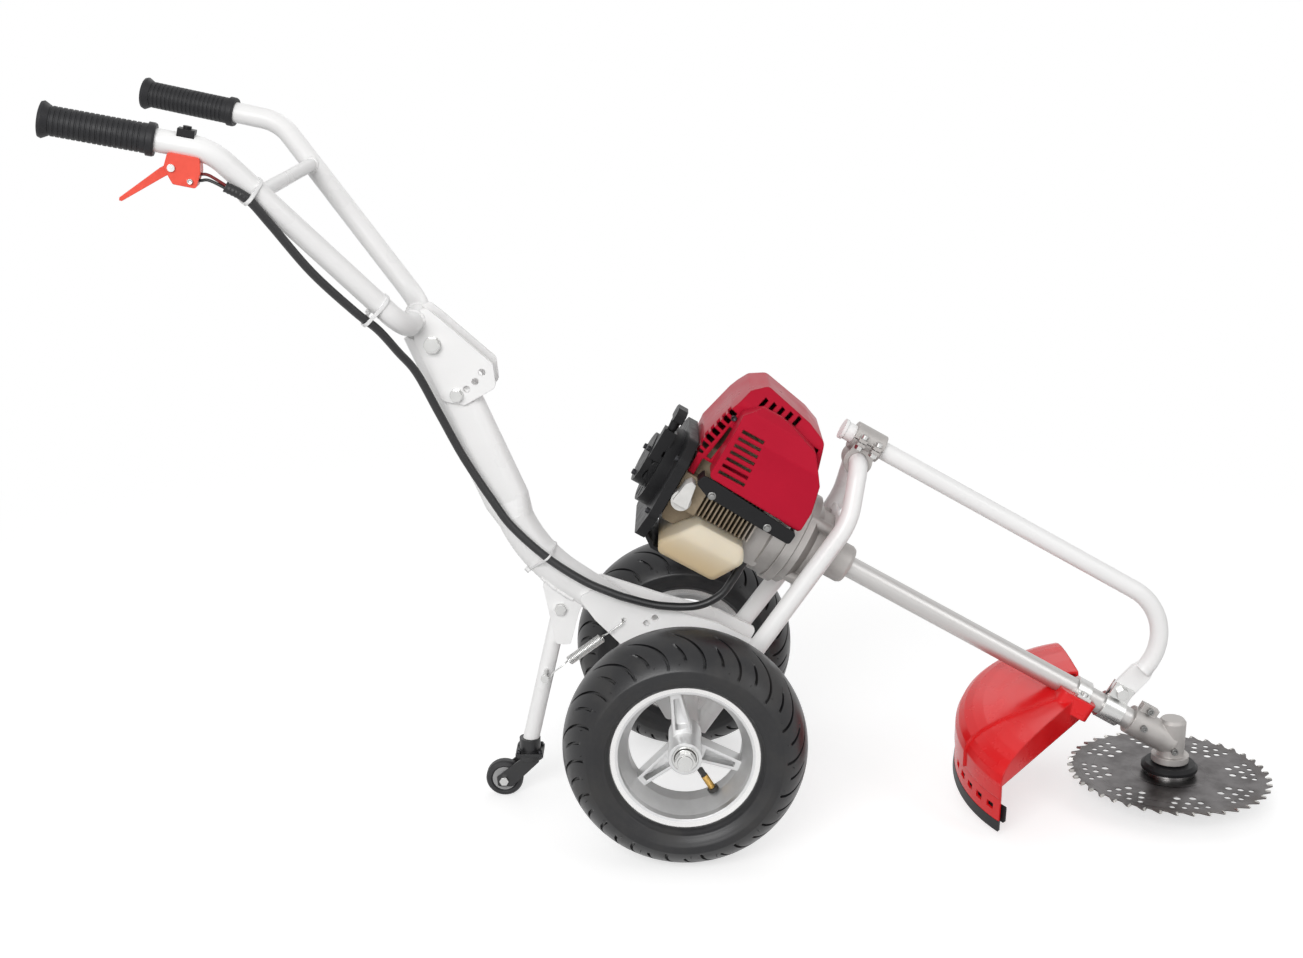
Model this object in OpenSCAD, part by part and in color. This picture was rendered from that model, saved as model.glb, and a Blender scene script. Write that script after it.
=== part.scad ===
// Wheeled brush cutter: engine, drive tube and level toothed blade on a two-wheeled push frame.
// Millimetres. X points forward to the blade, Y to the operator's left, Z up.
// The ground is Z = 0 and the origin is below the middle of the machine's overall box.

/* [Wheels] */
// Outside diameter of the tyres
wheel_d = 280; // [268:2:292]
// Width of a tyre
tyre_w = 104; // [98:1:110]
// Radius of the tyre's rounded crown
crown_r = 60; // [56:1:66]
// Thickness of the tyre's wall
tyre_wall = 9; // [7:0.5:11]
// Number of tread grooves on each shoulder
tread_count = 18; // [12:1:22]
// Width of a tread groove
tread_w = 5; // [3:0.5:6]
// Depth of a tread groove
tread_depth = 4; // [2:0.5:5]
// Distance between the tyres' centre planes
track = 336; // [322:2:360]
// Diameter over the rim's flanges
rim_d = 170; // [164:1:174]
// Width over the rim's flanges
rim_w = 72; // [68:1:76]
// Height of a rim flange above its bead seat
flange_h = 5; // [4:0.5:6]
// Thickness of a rim flange
flange_t = 4; // [3:0.5:5]
// Wall of the cast rim
rim_wall = 4; // [3:0.5:5]
// Depth of the well between the bead seats
well_depth = 11; // [8:1:14]
// Number of spokes
spoke_count = 3; // [3:1:6]
// Width of a spoke at the rim
spoke_w = 12; // [10:0.5:16]
// Width of a spoke at the hub
spoke_root_w = 22; // [18:1:26]
// Depth of a spoke across the wheel
spoke_t = 22; // [18:1:26]
// Thickness of the rails on both sides of a spoke's channel
spoke_rail = 3; // [2.5:0.5:4]
// Diameter of the axle
axle_d = 17; // [15:1:18]
// Outside diameter of the wheel bearings
bearing_d = 30; // [28:1:32]
// Width of a wheel bearing
bearing_w = 8; // [7:0.5:10]
// Wall of the hub round its bearings
hub_wall = 4; // [3:0.5:6]
// Length of the wheel hub
hub_len = 74; // [68:1:80]
// Diameter of the tube round the axle
axle_tube_d = 32; // [28:1:36]

/* [Column and base] */
// Diameter of the column tube
column_d = 44; // [40:1:46]
// Wall of the column tube
column_wall = 3.5; // [2:0.5:4]
// Width of the column's flattened head
head_w = 55; // [50:1:58]
// Thickness of the flattened head across the machine
head_t = 34; // [30:1:38]
// Length of the flattened head
head_len = 238; // [210:2:244]
// Radius of the column's bend
column_bend_r = 180; // [150:5:200]
// Thickness of the base plates
base_t = 5; // [4:0.5:6]
// Diameter of the lightening holes in the base plates
base_hole_d = 8; // [6:0.5:12]

/* [Handle] */
// Diameter of the handle tube
handle_d = 25; // [22:1:26]
// Wall of the handle tube
handle_wall = 3; // [2:0.5:3.5]
// Half the spread of the grips at their rear ends
grip_spread = 195; // [180:1:210]
// Height of the grips at their rear ends
grip_z = 845; // [820:1:870]
// Diameter of the brace between the arms
brace_d = 16; // [12:1:20]
// Length of a grip
grip_len = 118; // [105:1:130]
// Diameter of a grip's body
grip_d = 31.5; // [31:0.5:35]
// Diameter of the flange at a grip's end
grip_flange_d = 39; // [36:1:44]
// Number of ribs on a grip
grip_ribs = 18; // [10:1:24]
// Thickness of the adjuster plates
adjust_t = 5; // [4:0.5:6]
// Radius of the arc of lock holes about the pivot
lock_r = 65; // [60:1:68]
// Angle between two lock holes
lock_step = 12; // [10:0.5:13]
// Diameter of the pivot bolt
pivot_d = 10; // [8:0.5:12]
// Diameter of the lock screws
lock_d = 8; // [6:0.5:9]

/* [Throttle] */
// Length of the throttle housing along the handle
throttle_len = 36; // [30:1:42]
// Height of the throttle housing
throttle_h = 34; // [28:1:38]
// Width of the throttle housing
throttle_w = 24; // [20:1:28]
// Length of the throttle lever
lever_len = 64; // [55:1:70]
// Thickness of the throttle lever
lever_t = 8; // [6:0.5:10]
// Diameter of the cable sleeve
cable_d = 10; // [8:0.5:11]

/* [Engine carrier and bar] */
// Diameter of the hoop that carries the engine
hoop_d = 22; // [20:1:25]
// Wall of the hoop
hoop_wall = 1.5; // [1.5:0.5:3]
// Thickness of the engine mounting plate
mount_t = 4; // [4:0.5:6]
// Diameter of the front support bar
bar_d = 22; // [20:1:25]
// Wall of the front support bar
bar_wall = 1.5; // [1.5:0.5:3]
// Bend radius of the front support bar
bar_bend_r = 68; // [55:1:80]
// Length of the cross clamp along the bar
clamp_len = 38; // [32:1:44]
// Wall of the cross clamp
clamp_wall = 6; // [5:0.5:8]

/* [Stand] */
// Diameter of the stand leg
leg_d = 20; // [18:1:22]
// Wall of the stand leg
leg_wall = 2; // [1.5:0.5:3]
// Diameter of the stand's pivot bolt
stand_bolt_d = 8; // [6:0.5:10]
// Diameter of the caster wheel
caster_d = 46; // [42:1:50]
// Width of the caster wheel
caster_w = 18; // [14:1:20]
// Distance of the caster wheel behind its swivel
caster_trail = 32; // [28:1:36]
// Diameter of the spring wire
spring_wire_d = 1.8; // [1.4:0.1:2]
// Middle diameter of the spring's curls
spring_d = 10; // [9:0.5:12]
// Number of curls in the spring
spring_curls = 18; // [10:1:20]

/* [Engine] */
// Number of cooling slots in the muffler cover
slot_count = 7; // [4:1:8]
// Height of one cooling slot
slot_h = 4; // [3:0.5:5]
// Number of crankcase fins on the near side
fin_count = 13; // [8:1:15]
// Thickness of a fin
fin_t = 2; // [1.5:0.1:2.5]
// Diameter of the fuel cap
fuel_cap_d = 34; // [28:1:38]
// Diameter of the clutch drum
drum_d = 76; // [70:1:78]

/* [Drive] */
// Slope of the drive tube below level, in degrees
drive_angle = 29.2; // [28.8:0.1:29.6]
// Diameter of the drive tube
tube_d = 26; // [24:1:28]
// Wall of the drive tube
tube_wall = 2; // [1.5:0.5:3]
// Diameter of the drive shaft
shaft_d = 8; // [7:0.5:9]
// Teeth on the bevel pinion
pinion_teeth = 14; // [14:1:14]
// Teeth on the bevel gear
gear_teeth = 19; // [19:1:19]
// Outer pitch radius of the bevel gear
gear_r = 12; // [11.6:0.1:12.4]
// Face width of the bevel teeth
face_w = 6.5; // [6:0.5:7]
// Diameter of the gear case's upright barrel
barrel_d = 33; // [32:0.5:36]

/* [Blade and guard] */
// Outside diameter of the blade
blade_d = 246; // [230:1:250]
// Thickness of the blade
blade_t = 1.4; // [1.4:0.1:2.5]
// Number of teeth on the blade
blade_teeth = 40; // [30:1:60]
// Depth of a blade tooth
tooth_depth = 8; // [6:0.5:10]
// Drop from where the gear shafts' axes cross to the blade's underside
blade_drop = 41.6; // [40:0.1:46]
// Diameter of the blade's centre hole
blade_bore = 25.4; // [20:0.1:25.4]
// Radius of the guard's fan
guard_r = 171; // [160:1:176]
// Thickness of the guard's shell
guard_t = 3; // [2.5:0.5:4]
// Height of the guard's upper wall
guard_wall_h = 34; // [28:1:40]
// Height of the guard's lower skirt
skirt_h = 29; // [24:1:34]
// Height of the black strip along the skirt's edge
edge_h = 14; // [10:1:18]

/* [Clearances] */
// Running clearance of a shaft in its bore, on the radius
running = 0.05; // [0.03:0.01:0.09]
// Gap between fixed pieces that lie against each other
seat = 0.2; // [0.1:0.05:0.3]
// Gap beside moving pieces
side_gap = 0.5; // [0.3:0.1:0.8]

/* [Hidden] */
$fn = 48;

// Wheel radii
wheel_r = wheel_d / 2;
shoulder_r = wheel_r - 32;
bead_r = rim_d / 2 - flange_h;
bead_inset = (tyre_w - rim_w) / 2 - 2;
side_r = (pow(shoulder_r - rim_d / 2, 2) + bead_inset * bead_inset) / (2 * bead_inset);
well_r = bead_r - well_depth;
hub_d = bearing_d + 2 * hub_wall;
hub_out = 38;
hub_in = hub_len - hub_out;
axle_half = track / 2 + hub_out + side_gap + 12;

// Column line in the middle plane: head, bend and foot
column_top = [-309, 0, 600];
column_knee = [-182, 0, 313];
column_foot = [-40, 0, 218];
head_dir = unit(column_knee - column_top);
head_tilt = atan2(head_dir.x, -head_dir.z);
head_start = 12;
pivot_s = 29.5;
pivot_side = 4;
pivot = column_top + head_dir * pivot_s + [-head_dir.z, 0, head_dir.x] * pivot_side;
lock_angle = -66;
lock_count = 4;
lock_at = pivot + lock_r * [cos(lock_angle), 0, sin(lock_angle)];
adjust_y = head_t / 2 + side_gap;
base_y = column_d / 2 + seat;

// Handle line, right arm: cross part, lower bend, upper bend, grip end
cross_at = pivot + [-22, 0, 27];
handle_low = [cross_at.x, -70, cross_at.z];
handle_high = [-498, -176, 812];
handle_end = [-665, -grip_spread, grip_z];
low_bend_r = 45;
high_bend_r = 60;
brace_share = 0.77;
grip_dir = unit(handle_high - handle_end);
grip_front = handle_end + grip_dir * grip_len;

// Throttle below the right grip's front collar
throttle_gap = 12;
throttle_turn = 12;
throttle_at = grip_front + grip_dir * throttle_gap;
lever_pivot = [6, 0, -24];
lever_angle = 43;
throttle_pin_d = 4;

// Cable route: points chosen by hand along the right arm, the column and the base
cable_route = [[-514, -178, 783.5], [-503, -177, 783], [-485, -176, 774], [-463, -171, 760], [-443,
    -157, 731],
    [-407, -134, 677], [-366, -106, 628], [-345, -88, 605], [-326, -70, 576], [-308, -54, 548], [-285,
        -40, 496],
    [-259, -33, 442], [-226, -31, 388], [-204, -31, 357], [-164, -32, 320], [-122, -35, 293],
    [-90, -37, 279], [-66, -38, 271], [-30, -39, 263], [13, -40, 263], [41, -39.5, 276],
    [56, -38.5, 295.5], [64.3, -38, 309.9], [69.2, -38, 318.6]];
cable_sides = 10;
tie_places = [cable_route[3], (cable_route[6] + cable_route[7]) / 2];
tie_w = 4;
tie_t = 1.5;

// Engine carrier hoop, right side: foot, shoulder and top corner
hoop_foot = [30, -74, 143];
hoop_shoulder = [190, -58, 372];
hoop_shoulder_r = 80;
hoop_top_r = 26;
hoop_half = 31;

// Drive line: the clutch neck's front end is the engine's own origin
drive_at = [207, 0, 294.6];
drive_dir = [cos(drive_angle), 0, -sin(drive_angle)];
drive_up = [sin(drive_angle), 0, cos(drive_angle)];
// Where the gear shafts' axes cross; the tube's end, the bar's foot, the guard and the blade follow it
gear_a = 451;
gear_at = drive_at + drive_dir * gear_a;
blade_z = gear_at.z - blade_drop;
bar_lift = 143.5;
bar_cross_a = -72;
bar_line = drive_at + drive_up * bar_lift;
bar_cross = bar_line + drive_dir * bar_cross_a;
bar_rear = bar_line + drive_dir * (bar_cross_a - 30);
bar_foot_a = gear_a - 90;
bar_corner = bar_line + drive_dir * (bar_foot_a + 25);
bar_tab_lift = 25;
bar_foot = drive_at + drive_dir * bar_foot_a + drive_up * bar_tab_lift;
tab_len = 44;
tab_t = 6;
tab_w = 28;
hoop_cross = bar_cross - drive_up * ((bar_d + hoop_d) / 2 + 2);
hoop_low = hoop_cross - [0, hoop_half, 0];
hoop_run = [hoop_foot, hoop_shoulder, hoop_low, flip(hoop_low), flip(hoop_shoulder), flip(hoop_foot)];
hoop_radii = [hoop_shoulder_r, hoop_top_r, hoop_top_r, hoop_shoulder_r];
clamp_bolt_y = bar_d / 2 + clamp_wall + 5;
tube_rear = -48;
tube_front = gear_a - 43;
spindle_d = 10;
barrel_top = gear_at.z + 27;
barrel_foot = gear_at.z - 24;

// Stand
stand_at = [-150, 0, 250];
stand_lean = 12.7;
caster_top = caster_d + 10;
leg_rise = 12.5506;
stand_len = (stand_at.z - caster_top - leg_rise) / cos(stand_lean);
stand_ear_y = leg_d / 2 + side_gap;
stand_ear_t = 4;
spring_leg = 84;
spring_frame = [-73, 240];
spring_hole_d = 6;
spring_stud_d = 6;
fork_t = 3;
swivel_x = stand_at.x - stand_len * sin(stand_lean);

// Engine places along the drive line: a along the tube, y to the left, w up from the crank
crank_d = 14;
starter_w = -1;
rope_a = -284;
rope_y = -29;
rope_d = 4;
mount_a = -58;
mount_screw_d = 6;
housing_rear = -104;
housing_r = 62;
neck_r = 24;
fuel_neck = [-190, 54, -61];
fuel_neck_d = 16;
rotor_rear = -92;
drum_front = -64;
drum_wall = 3;

// Guard
guard_at = drive_at + drive_dir * (gear_a - 117.35) - drive_up * 6.67;
guard_roll = 12.6;
guard_pitch = -4.8;
guard_near = 46;
guard_far = 84;
guard_rise = 14;
panel_far = 50;
panel_near = 22;
panel_h = 2.5;
guard_shift = [10, -32, 0];
saddle_w = 29;
saddle_rear = gear_a - 163;
saddle_front = gear_a - 115;
saddle_top = -1;

// The machine's overall box sets where the axle lies along X
flange_reach = grip_flange_d / 2 * sqrt(1 - grip_dir.x * grip_dir.x);
front_x = gear_at.x + blade_d / 2;
rear_x = handle_end.x - flange_reach;
axle_x = -(front_x + rear_x) / 2;

white = "whitesmoke";
steel = "silver";
cast_grey = "darkgray";
black = [0.1, 0.1, 0.1];
red = [0.75, 0.05, 0.1];

function unit(v) = v / norm(v);
function flip(p) = [p.x, -p.y, p.z];
function corner(p, a, b, r, n) =
    let (u = unit(a - p), v = unit(b - p), half = acos(u * v) / 2, c = p + unit(u + v) * r / sin(half))
    let (s = p + u * r / tan(half), e = p + v * r / tan(half))
    let (a0 = atan2(s.y - c.y, s.x - c.x), a1 = atan2(e.y - c.y, e.x - c.x))
    let (turn = (a1 - a0 + 540) % 360 - 180)
    [for (i = [0:n]) c + r * [cos(a0 + turn * i / n), sin(a0 + turn * i / n)]];
function rounded(points, r, n = 5) =
    let (k = len(points))
    [for (i = [0:k - 1]) each corner(points[i], points[(i + k - 1) % k], points[(i + 1) % k], r, n)];

// Places things relative to the axle's centre line on the ground
module on_axle() translate([axle_x, 0, 0]) children();

// Local frame of the drive line: X along the tube, Z up from the crank
module on_drive() on_axle() translate(drive_at) rotate([0, drive_angle, 0]) children();

// Round bar between two points
module rod(a, b, d) {
    v = b - a;
    translate(a) rotate([0, acos(v.z / norm(v)), atan2(v.y, v.x)]) cylinder(h = norm(v), d = d);
}

// Part of a ring that turns from direction u at a corner p towards v
module bend(p, u, v, r, d) {
    turn = acos(u * v);
    n = unit(v - (u * v) * u);
    c = p - u * r * tan(turn / 2) + n * r;
    z = cross(u, n);
    multmatrix([[-n.x, u.x, z.x, c.x], [-n.y, u.y, z.y, c.y], [-n.z, u.z, z.z, c.z], [0, 0, 0, 1]])
        rotate_extrude(angle = turn) translate([r, 0]) circle(d = d);
}

// Round bar along straight runs with bends. A bend is a hair thicker and takes in the ends of
// the runs beside it, so that the pieces join without relying on faces that only touch.
bend_swell = 0.1;
bend_lap = 0.7;
module bent_rod(points, radii, d, extra = 0) {
    last = len(points) - 1;
    for (i = [0:last - 1]) {
        u = unit(points[i + 1] - points[i]);
        before = i == 0 ? extra : bend_lap - trim(points, radii, i);
        after = i == last - 1 ? extra : bend_lap - trim(points, radii, i + 1);
        rod(points[i] - u * before, points[i + 1] + u * after, d);
        if (i < last - 1)
            bend(points[i + 1], u, unit(points[i + 2] - points[i + 1]), radii[i], d + bend_swell);
    }
}
function trim(points, radii, i) =
    let (u = unit(points[i] - points[i - 1]), v = unit(points[i + 1] - points[i]))
    radii[i - 1] * tan(acos(u * v) / 2);

module bent_tube(points, radii, d, wall) difference() {
    bent_rod(points, radii, d);
    bent_rod(points, radii, d - 2 * wall, extra = 1);
}

// Flat plate in the XZ plane from y0, t thick
module plate_xz(points, y0, t) translate([0, y0 + t, 0]) rotate([90, 0, 0]) linear_extrude(t)
    polygon(points);

// Bar across the machine, from y0 to y1 at the place p in the XZ plane
module cross_bar(p, y0, y1, d) translate([p.x, y0, p.z]) rotate([-90, 0, 0]) cylinder(h = y1 - y0, d = d);

// Hexagonal head or nut across the machine
module cross_hex(p, y0, y1, flats)
    translate([p.x, y0, p.z]) rotate([-90, 0, 0]) cylinder(h = y1 - y0, d = flats / cos(30), $fn = 6);

// Cylinder along the drive line in its local frame
module along_drive(a0, a1, d, y = 0, w = 0) translate([a0, y, w]) rotate([0, 90, 0])
    cylinder(h = a1 - a0, d = d);

// Wheels
module tyre_section(inset) {
    intersection() {
        translate([wheel_r - crown_r, 0]) circle(crown_r - inset);
        union() {
            for (s = [-1, 1]) translate([shoulder_r, s * (tyre_w / 2 - side_r)]) circle(side_r - inset);
            translate([bead_r, -(tyre_w / 2 - side_r)]) square([wheel_r - bead_r, tyre_w - 2 * side_r]);
        }
    }
}

module tread_groove(side) {
    lean = 26;
    run = 40;
    translate([0, 0, wheel_r - crown_r]) rotate([-side * lean, 0, 0]) translate([0, 0,
        crown_r - tread_depth])
        rotate(-side * 35) translate([-tread_w / 2, -run / 2, 0]) cube([tread_w, run, 12]);
}

module tyre() {
    bead_y = rim_w / 2 - flange_t - seat;
    bead_w = 9;
    difference() {
        rotate([90, 0, 0]) rotate_extrude($fn = 96) difference() {
            union() {
                tyre_section(0);
                for (s = [-1, 1])
                    translate([bead_r + seat, s * (bead_y - bead_w / 2) - bead_w / 2])
                        square([flange_h + 4, bead_w]);
            }
            tyre_section(tyre_wall);
            translate([0, -rim_w]) square([bead_r + seat, 2 * rim_w]);
            for (s = [-1, 1])
                translate([0, s * (bead_y + rim_w / 2) - rim_w / 2]) square([rim_d / 2 + seat, rim_w]);
        }
        for (s = [-1, 1])
            for (i = [0:tread_count - 1])
                rotate([0, (i + s / 4) * 360 / tread_count, 0]) tread_groove(s);
    }
}

module rim() {
    half = rim_w / 2;
    inner = bead_r - rim_wall;
    floor_r = well_r - rim_wall;
    profile = [[rim_d / 2, -half], [rim_d / 2, flange_t - half], [bead_r, flange_t - half], [bead_r,
        -half * 0.62],
        [well_r, -half * 0.4], [well_r, half * 0.1], [bead_r, half * 0.62], [bead_r, half - flange_t],
        [rim_d / 2, half - flange_t], [rim_d / 2, half], [inner, half - flange_t / 2], [inner, half * 0.66],
        [floor_r, half * 0.16], [floor_r, -half * 0.46], [inner, -half * 0.66], [inner,
            flange_t / 2 - half]];
    difference() {
        union() {
            rotate_extrude($fn = 96) polygon(profile);
            translate([0, 0, -hub_in]) cylinder(h = hub_len, d = hub_d);
            for (i = [0:spoke_count - 1]) rotate(i * 360 / spoke_count) spoke(floor_r);
        }
        translate([0, 0, -hub_in - 1]) cylinder(h = hub_len + 2, d = bearing_d - 6);
        for (z = [-hub_in - 1, hub_out - bearing_w]) translate([0, 0, z]) cylinder(h = bearing_w + 1,
            d = bearing_d);
    }
}

module spoke(reach) {
    root = hub_d / 2 - 3;
    end = reach + rim_wall / 2;
    low = 4;
    difference() {
        translate([0, 0, -spoke_t / 2 - low]) linear_extrude(spoke_t)
            polygon([[root, -spoke_root_w / 2], [end, -spoke_w / 2], [end, spoke_w / 2], [root,
                spoke_root_w / 2]]);
        translate([0, 0, -spoke_t / 2 - low + 6]) linear_extrude(spoke_t)
            polygon([[hub_d / 2 + 4, spoke_rail - spoke_root_w / 2 + 1], [reach - 5,
                spoke_rail - spoke_w / 2],
                [reach - 5, spoke_w / 2 - spoke_rail], [hub_d / 2 + 4, spoke_root_w / 2 - spoke_rail - 1]]);
    }
}

module wheel_place(side) on_axle() translate([0, side * track / 2, wheel_r]) children();
module rim_place(side) wheel_place(side) rotate([side * -90, 0, 0]) rotate(side > 0 ? -100 : 100)
    children();

module tyre_right() color(black) wheel_place(-1) tyre();
module tyre_left() color(black) wheel_place(1) mirror([0, 1, 0]) tyre();
module rim_right() color(steel) rim_place(-1) rim();
module rim_left() color(steel) rim_place(1) rim();

module wheel_bearings() {
    for (z = [-hub_in, hub_out - bearing_w]) translate([0, 0, z]) difference() {
        cylinder(h = bearing_w, d = bearing_d - 2 * seat);
        translate([0, 0, -1]) cylinder(h = bearing_w + 2, d = axle_d + 2 * running);
        for (end = [-1, bearing_w - 1]) translate([0, 0, end]) difference() {
            cylinder(h = 2, d = bearing_d - 8);
            translate([0, 0, -1]) cylinder(h = 4, d = axle_d + 8);
        }
    }
}
module bearings_right() color(steel) rim_place(-1) wheel_bearings();
module bearings_left() color(steel) rim_place(1) wheel_bearings();

module valve() {
    stem_d = 8;
    stem_h = 24;
    rotate(202) translate([well_r - rim_wall - stem_h - seat, 0, 4]) rotate([0, 90, 0]) {
        cylinder(h = stem_h, d = stem_d);
        translate([0, 0, stem_h - 6]) cylinder(h = 4, d = stem_d + 5);
        translate([0, 0, -9]) cylinder(h = 10, d = stem_d - 1);
    }
}
module valve_right() color("darkgoldenrod") rim_place(-1) valve();
module valve_left() color("darkgoldenrod") rim_place(1) valve();

module axle() color(steel) on_axle() cross_bar([0, 0, wheel_r], -axle_half, axle_half, axle_d);

module axle_tube() {
    reach = track / 2 - hub_in - side_gap;
    color(white) on_axle() difference() {
        cross_bar([0, 0, wheel_r], -reach, reach, axle_tube_d);
        cross_bar([0, 0, wheel_r], -reach - 1, reach + 1, axle_d + 2 * seat);
    }
}

module axle_nuts() {
    inner = track / 2 + hub_out + side_gap;
    color(steel) on_axle() for (s = [-1, 1]) difference() {
        union() {
            cross_bar([0, 0, wheel_r], min(s * inner, s * (inner + 3)), max(s * inner, s * (inner + 3)),
                axle_d + 7);
            cross_hex([0, 0, wheel_r], min(s * inner, s * (inner + 11)), max(s * inner,
                s * (inner + 11)), axle_d + 4);
        }
        cross_bar([0, 0, wheel_r], -axle_half - 1, axle_half + 1, axle_d + 2 * seat);
    }
}

// Frame
module head_section(inset) {
    span = head_w - head_t;
    for (s = [-1, 1]) translate([s * span / 2, 0]) circle(d = head_t - 2 * inset);
    square([span, head_t - 2 * inset], center = true);
}

module head_run(inset, from, to)
    translate(column_top) rotate([0, 180 - head_tilt, 0])
        translate([0, 0, from]) linear_extrude(to - from) head_section(inset);

module head_taper(inset) {
    fade = 26;
    translate(column_top) rotate([0, 180 - head_tilt, 0]) hull() {
        translate([0, 0, head_len]) linear_extrude(0.1) head_section(inset, $fn = 32);
        translate([0, 0, head_len + fade]) cylinder(h = 0.1, d = column_d - 2 * inset, $fn = 32);
    }
}

module main_column() {
    join = column_top + head_dir * (head_len + 20);
    run = [join, column_knee, column_foot];
    cross_gap = norm([cross_at.x - pivot.x, cross_at.z - pivot.z]);
    color(white) on_axle() difference() {
        union() {
            head_run(0, head_start, head_len);
            head_taper(0);
            bent_rod(run, [column_bend_r], column_d);
        }
        head_run(column_wall, head_start - 1, head_len);
        head_taper(column_wall);
        bent_rod(run, [column_bend_r], column_d - 2 * column_wall, extra = 1);
        cross_bar(pivot, -head_t, head_t, pivot_d + 2 * seat);
        cross_bar(lock_at, -head_t, head_t, lock_d + 1);
        // Room for the handle's cross tube as it swings over the head
        translate([pivot.x, head_t, pivot.z]) rotate([90, 0, 0]) rotate(22)
            rotate_extrude(angle = 146) translate([cross_gap - handle_d / 2 - side_gap, 0])
                square([handle_d + head_w, 2 * head_t]);
    }
}

function base_outline() = [[-128, 268], [-103, 281], [-31, 257], [41, 236], [88, 212], [62, 158], [22, 112],
    [-22, 112], [-76, 208], [-108, 240]];

module base_plates() {
    holes = [[spring_frame.x, spring_frame.y, spring_hole_d], [-46, 236, base_hole_d], [-36, 243,
        base_hole_d],
        [20, 215, base_hole_d]];
    color(white) on_axle() for (s = [-1, 1]) difference() {
        plate_xz(rounded(base_outline(), 6), s > 0 ? base_y : -base_y - base_t, base_t);
        cross_bar([0, 0, wheel_r], -100, 100, axle_tube_d + 2 * seat);
        for (h = holes) cross_bar([h[0], 0, h[1]], -100, 100, h[2]);
    }
}

module engine_hoop() {
    color(white) on_axle() difference() {
        bent_tube(hoop_run, hoop_radii, hoop_d, hoop_wall);
        cross_bar([0, 0, wheel_r], -150, 150, axle_tube_d + 2 * seat);
    }
}

// Engine plate between the hoop's legs, with its four screws
module mount_plate() {
    outline = rounded([[-52, -58], [52, -58], [48, 52], [-48, 52]], 8);
    face = mount_a + seat;
    color(white) on_drive() {
        difference() {
            translate([face, 0, 0]) rotate([90, 0, 90]) linear_extrude(mount_t) polygon(outline);
            along_drive(mount_a - 1, mount_a + mount_t + 2, 2 * neck_r + 2 * seat);
            rotate([0, -drive_angle, 0]) translate(-drive_at) hoop_room();
        }
        for (y = [-36, 36]) for (w = [-36, 36]) {
            along_drive(face - 14, face + 1, mount_screw_d - 2 * seat, y, w);
            translate([face + mount_t - 1, y, w]) rotate([0, 90, 0]) cylinder(h = 5, d = 11.5, $fn = 6);
        }
    }
}

// The hoop and the right arm with room round them, as cutters
module hoop_room() bent_rod(hoop_run, hoop_radii, hoop_d + 2 * seat);
module arm_room() on_axle() bent_rod([handle_end, handle_high, handle_low], [high_bend_r],
    handle_d + 2 * seat);

// Handle
module handle_tube() {
    run = [handle_end, handle_high, handle_low, flip(handle_low), flip(handle_high), flip(handle_end)];
    color(white) on_axle() bent_tube(run, [high_bend_r, low_bend_r, low_bend_r, high_bend_r], handle_d,
        handle_wall);
}

module handle_brace() {
    at = handle_low + (handle_high - handle_low) * brace_share;
    color(white) on_axle() difference() {
        rod(at, flip(at), brace_d);
        rod(handle_low, handle_high, handle_d + 2 * seat);
        rod(flip(handle_low), flip(handle_high), handle_d + 2 * seat);
    }
}

module adjuster_plates() {
    outline = rounded([[-318, 602], [-303, 620], [-285, 606], [-224, 552], [-221, 524], [-258, 503],
        [-284, 508],
        [-312, 572]], 8);
    color(white) on_axle() for (s = [-1, 1]) difference() {
        plate_xz(outline, s > 0 ? adjust_y : -adjust_y - adjust_t, adjust_t);
        cross_bar(pivot, -60, 60, pivot_d + 2 * running);
        cross_bar(cross_at, -60, 60, handle_d + 2 * seat);
        for (i = [0:lock_count - 1]) {
            turn = lock_angle + i * lock_step;
            cross_bar(pivot + lock_r * [cos(turn), 0, sin(turn)], -60, 60, lock_d + 2 * seat);
        }
    }
}

module pivot_bolt() {
    face = adjust_y + adjust_t + side_gap;
    color(steel) on_axle() {
        cross_bar(pivot, -face - 1, face + 1, pivot_d);
        for (s = [-1, 1]) {
            cross_bar(pivot, s > 0 ? face : -face - 2, s > 0 ? face + 2 : -face, pivot_d * 2);
            cross_hex(pivot, s > 0 ? face + 2 : -face - 9, s > 0 ? face + 9 : -face - 2, pivot_d * 1.7);
        }
    }
}

module lock_screws() {
    face = adjust_y + adjust_t;
    tip = head_t / 2 + side_gap;
    color(steel) on_axle() for (s = [-1, 1]) {
        cross_bar(lock_at, s > 0 ? tip : -face - 1, s > 0 ? face + 1 : -tip, lock_d);
        cross_bar(lock_at, s > 0 ? face : -face - 2, s > 0 ? face + 2 : -face, lock_d * 2);
        cross_hex(lock_at, s > 0 ? face + 2 : -face - 8, s > 0 ? face + 8 : -face - 2, lock_d * 1.6);
    }
}

module grip() {
    collar = 9;
    flange = 9;
    body = grip_len - collar - flange - 4;
    pitch = body / grip_ribs;
    rib_h = 0.8;
    bore_r = handle_d / 2 + seat;
    wave = [for (i = [0:grip_ribs - 1]) each [[grip_d / 2, collar + 2 + i * pitch],
        [grip_d / 2, collar + 2 + (i + 0.6) * pitch], [grip_d / 2 - rib_h, collar + 2 + (i + 0.7) * pitch],
        [grip_d / 2 - rib_h, collar + 2 + (i + 0.95) * pitch]]];
    rotate_extrude() polygon(concat(
        [[bore_r, 0], [grip_d / 2 + 1, 0], [grip_d / 2 + 2, 2], [grip_d / 2 + 2, collar - 1],
            [grip_d / 2, collar]],
        wave,
        [[grip_d / 2, grip_len - flange - 2], [grip_flange_d / 2 - 1, grip_len - flange + 3],
         [grip_flange_d / 2, grip_len - 4], [grip_flange_d / 2 - 1, grip_len - 1],
             [grip_flange_d / 2 - 4, grip_len],
         [bore_r - 3, grip_len], [bore_r - 3, grip_len - 3 + seat], [bore_r, grip_len - 3 + seat]]));
}

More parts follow.
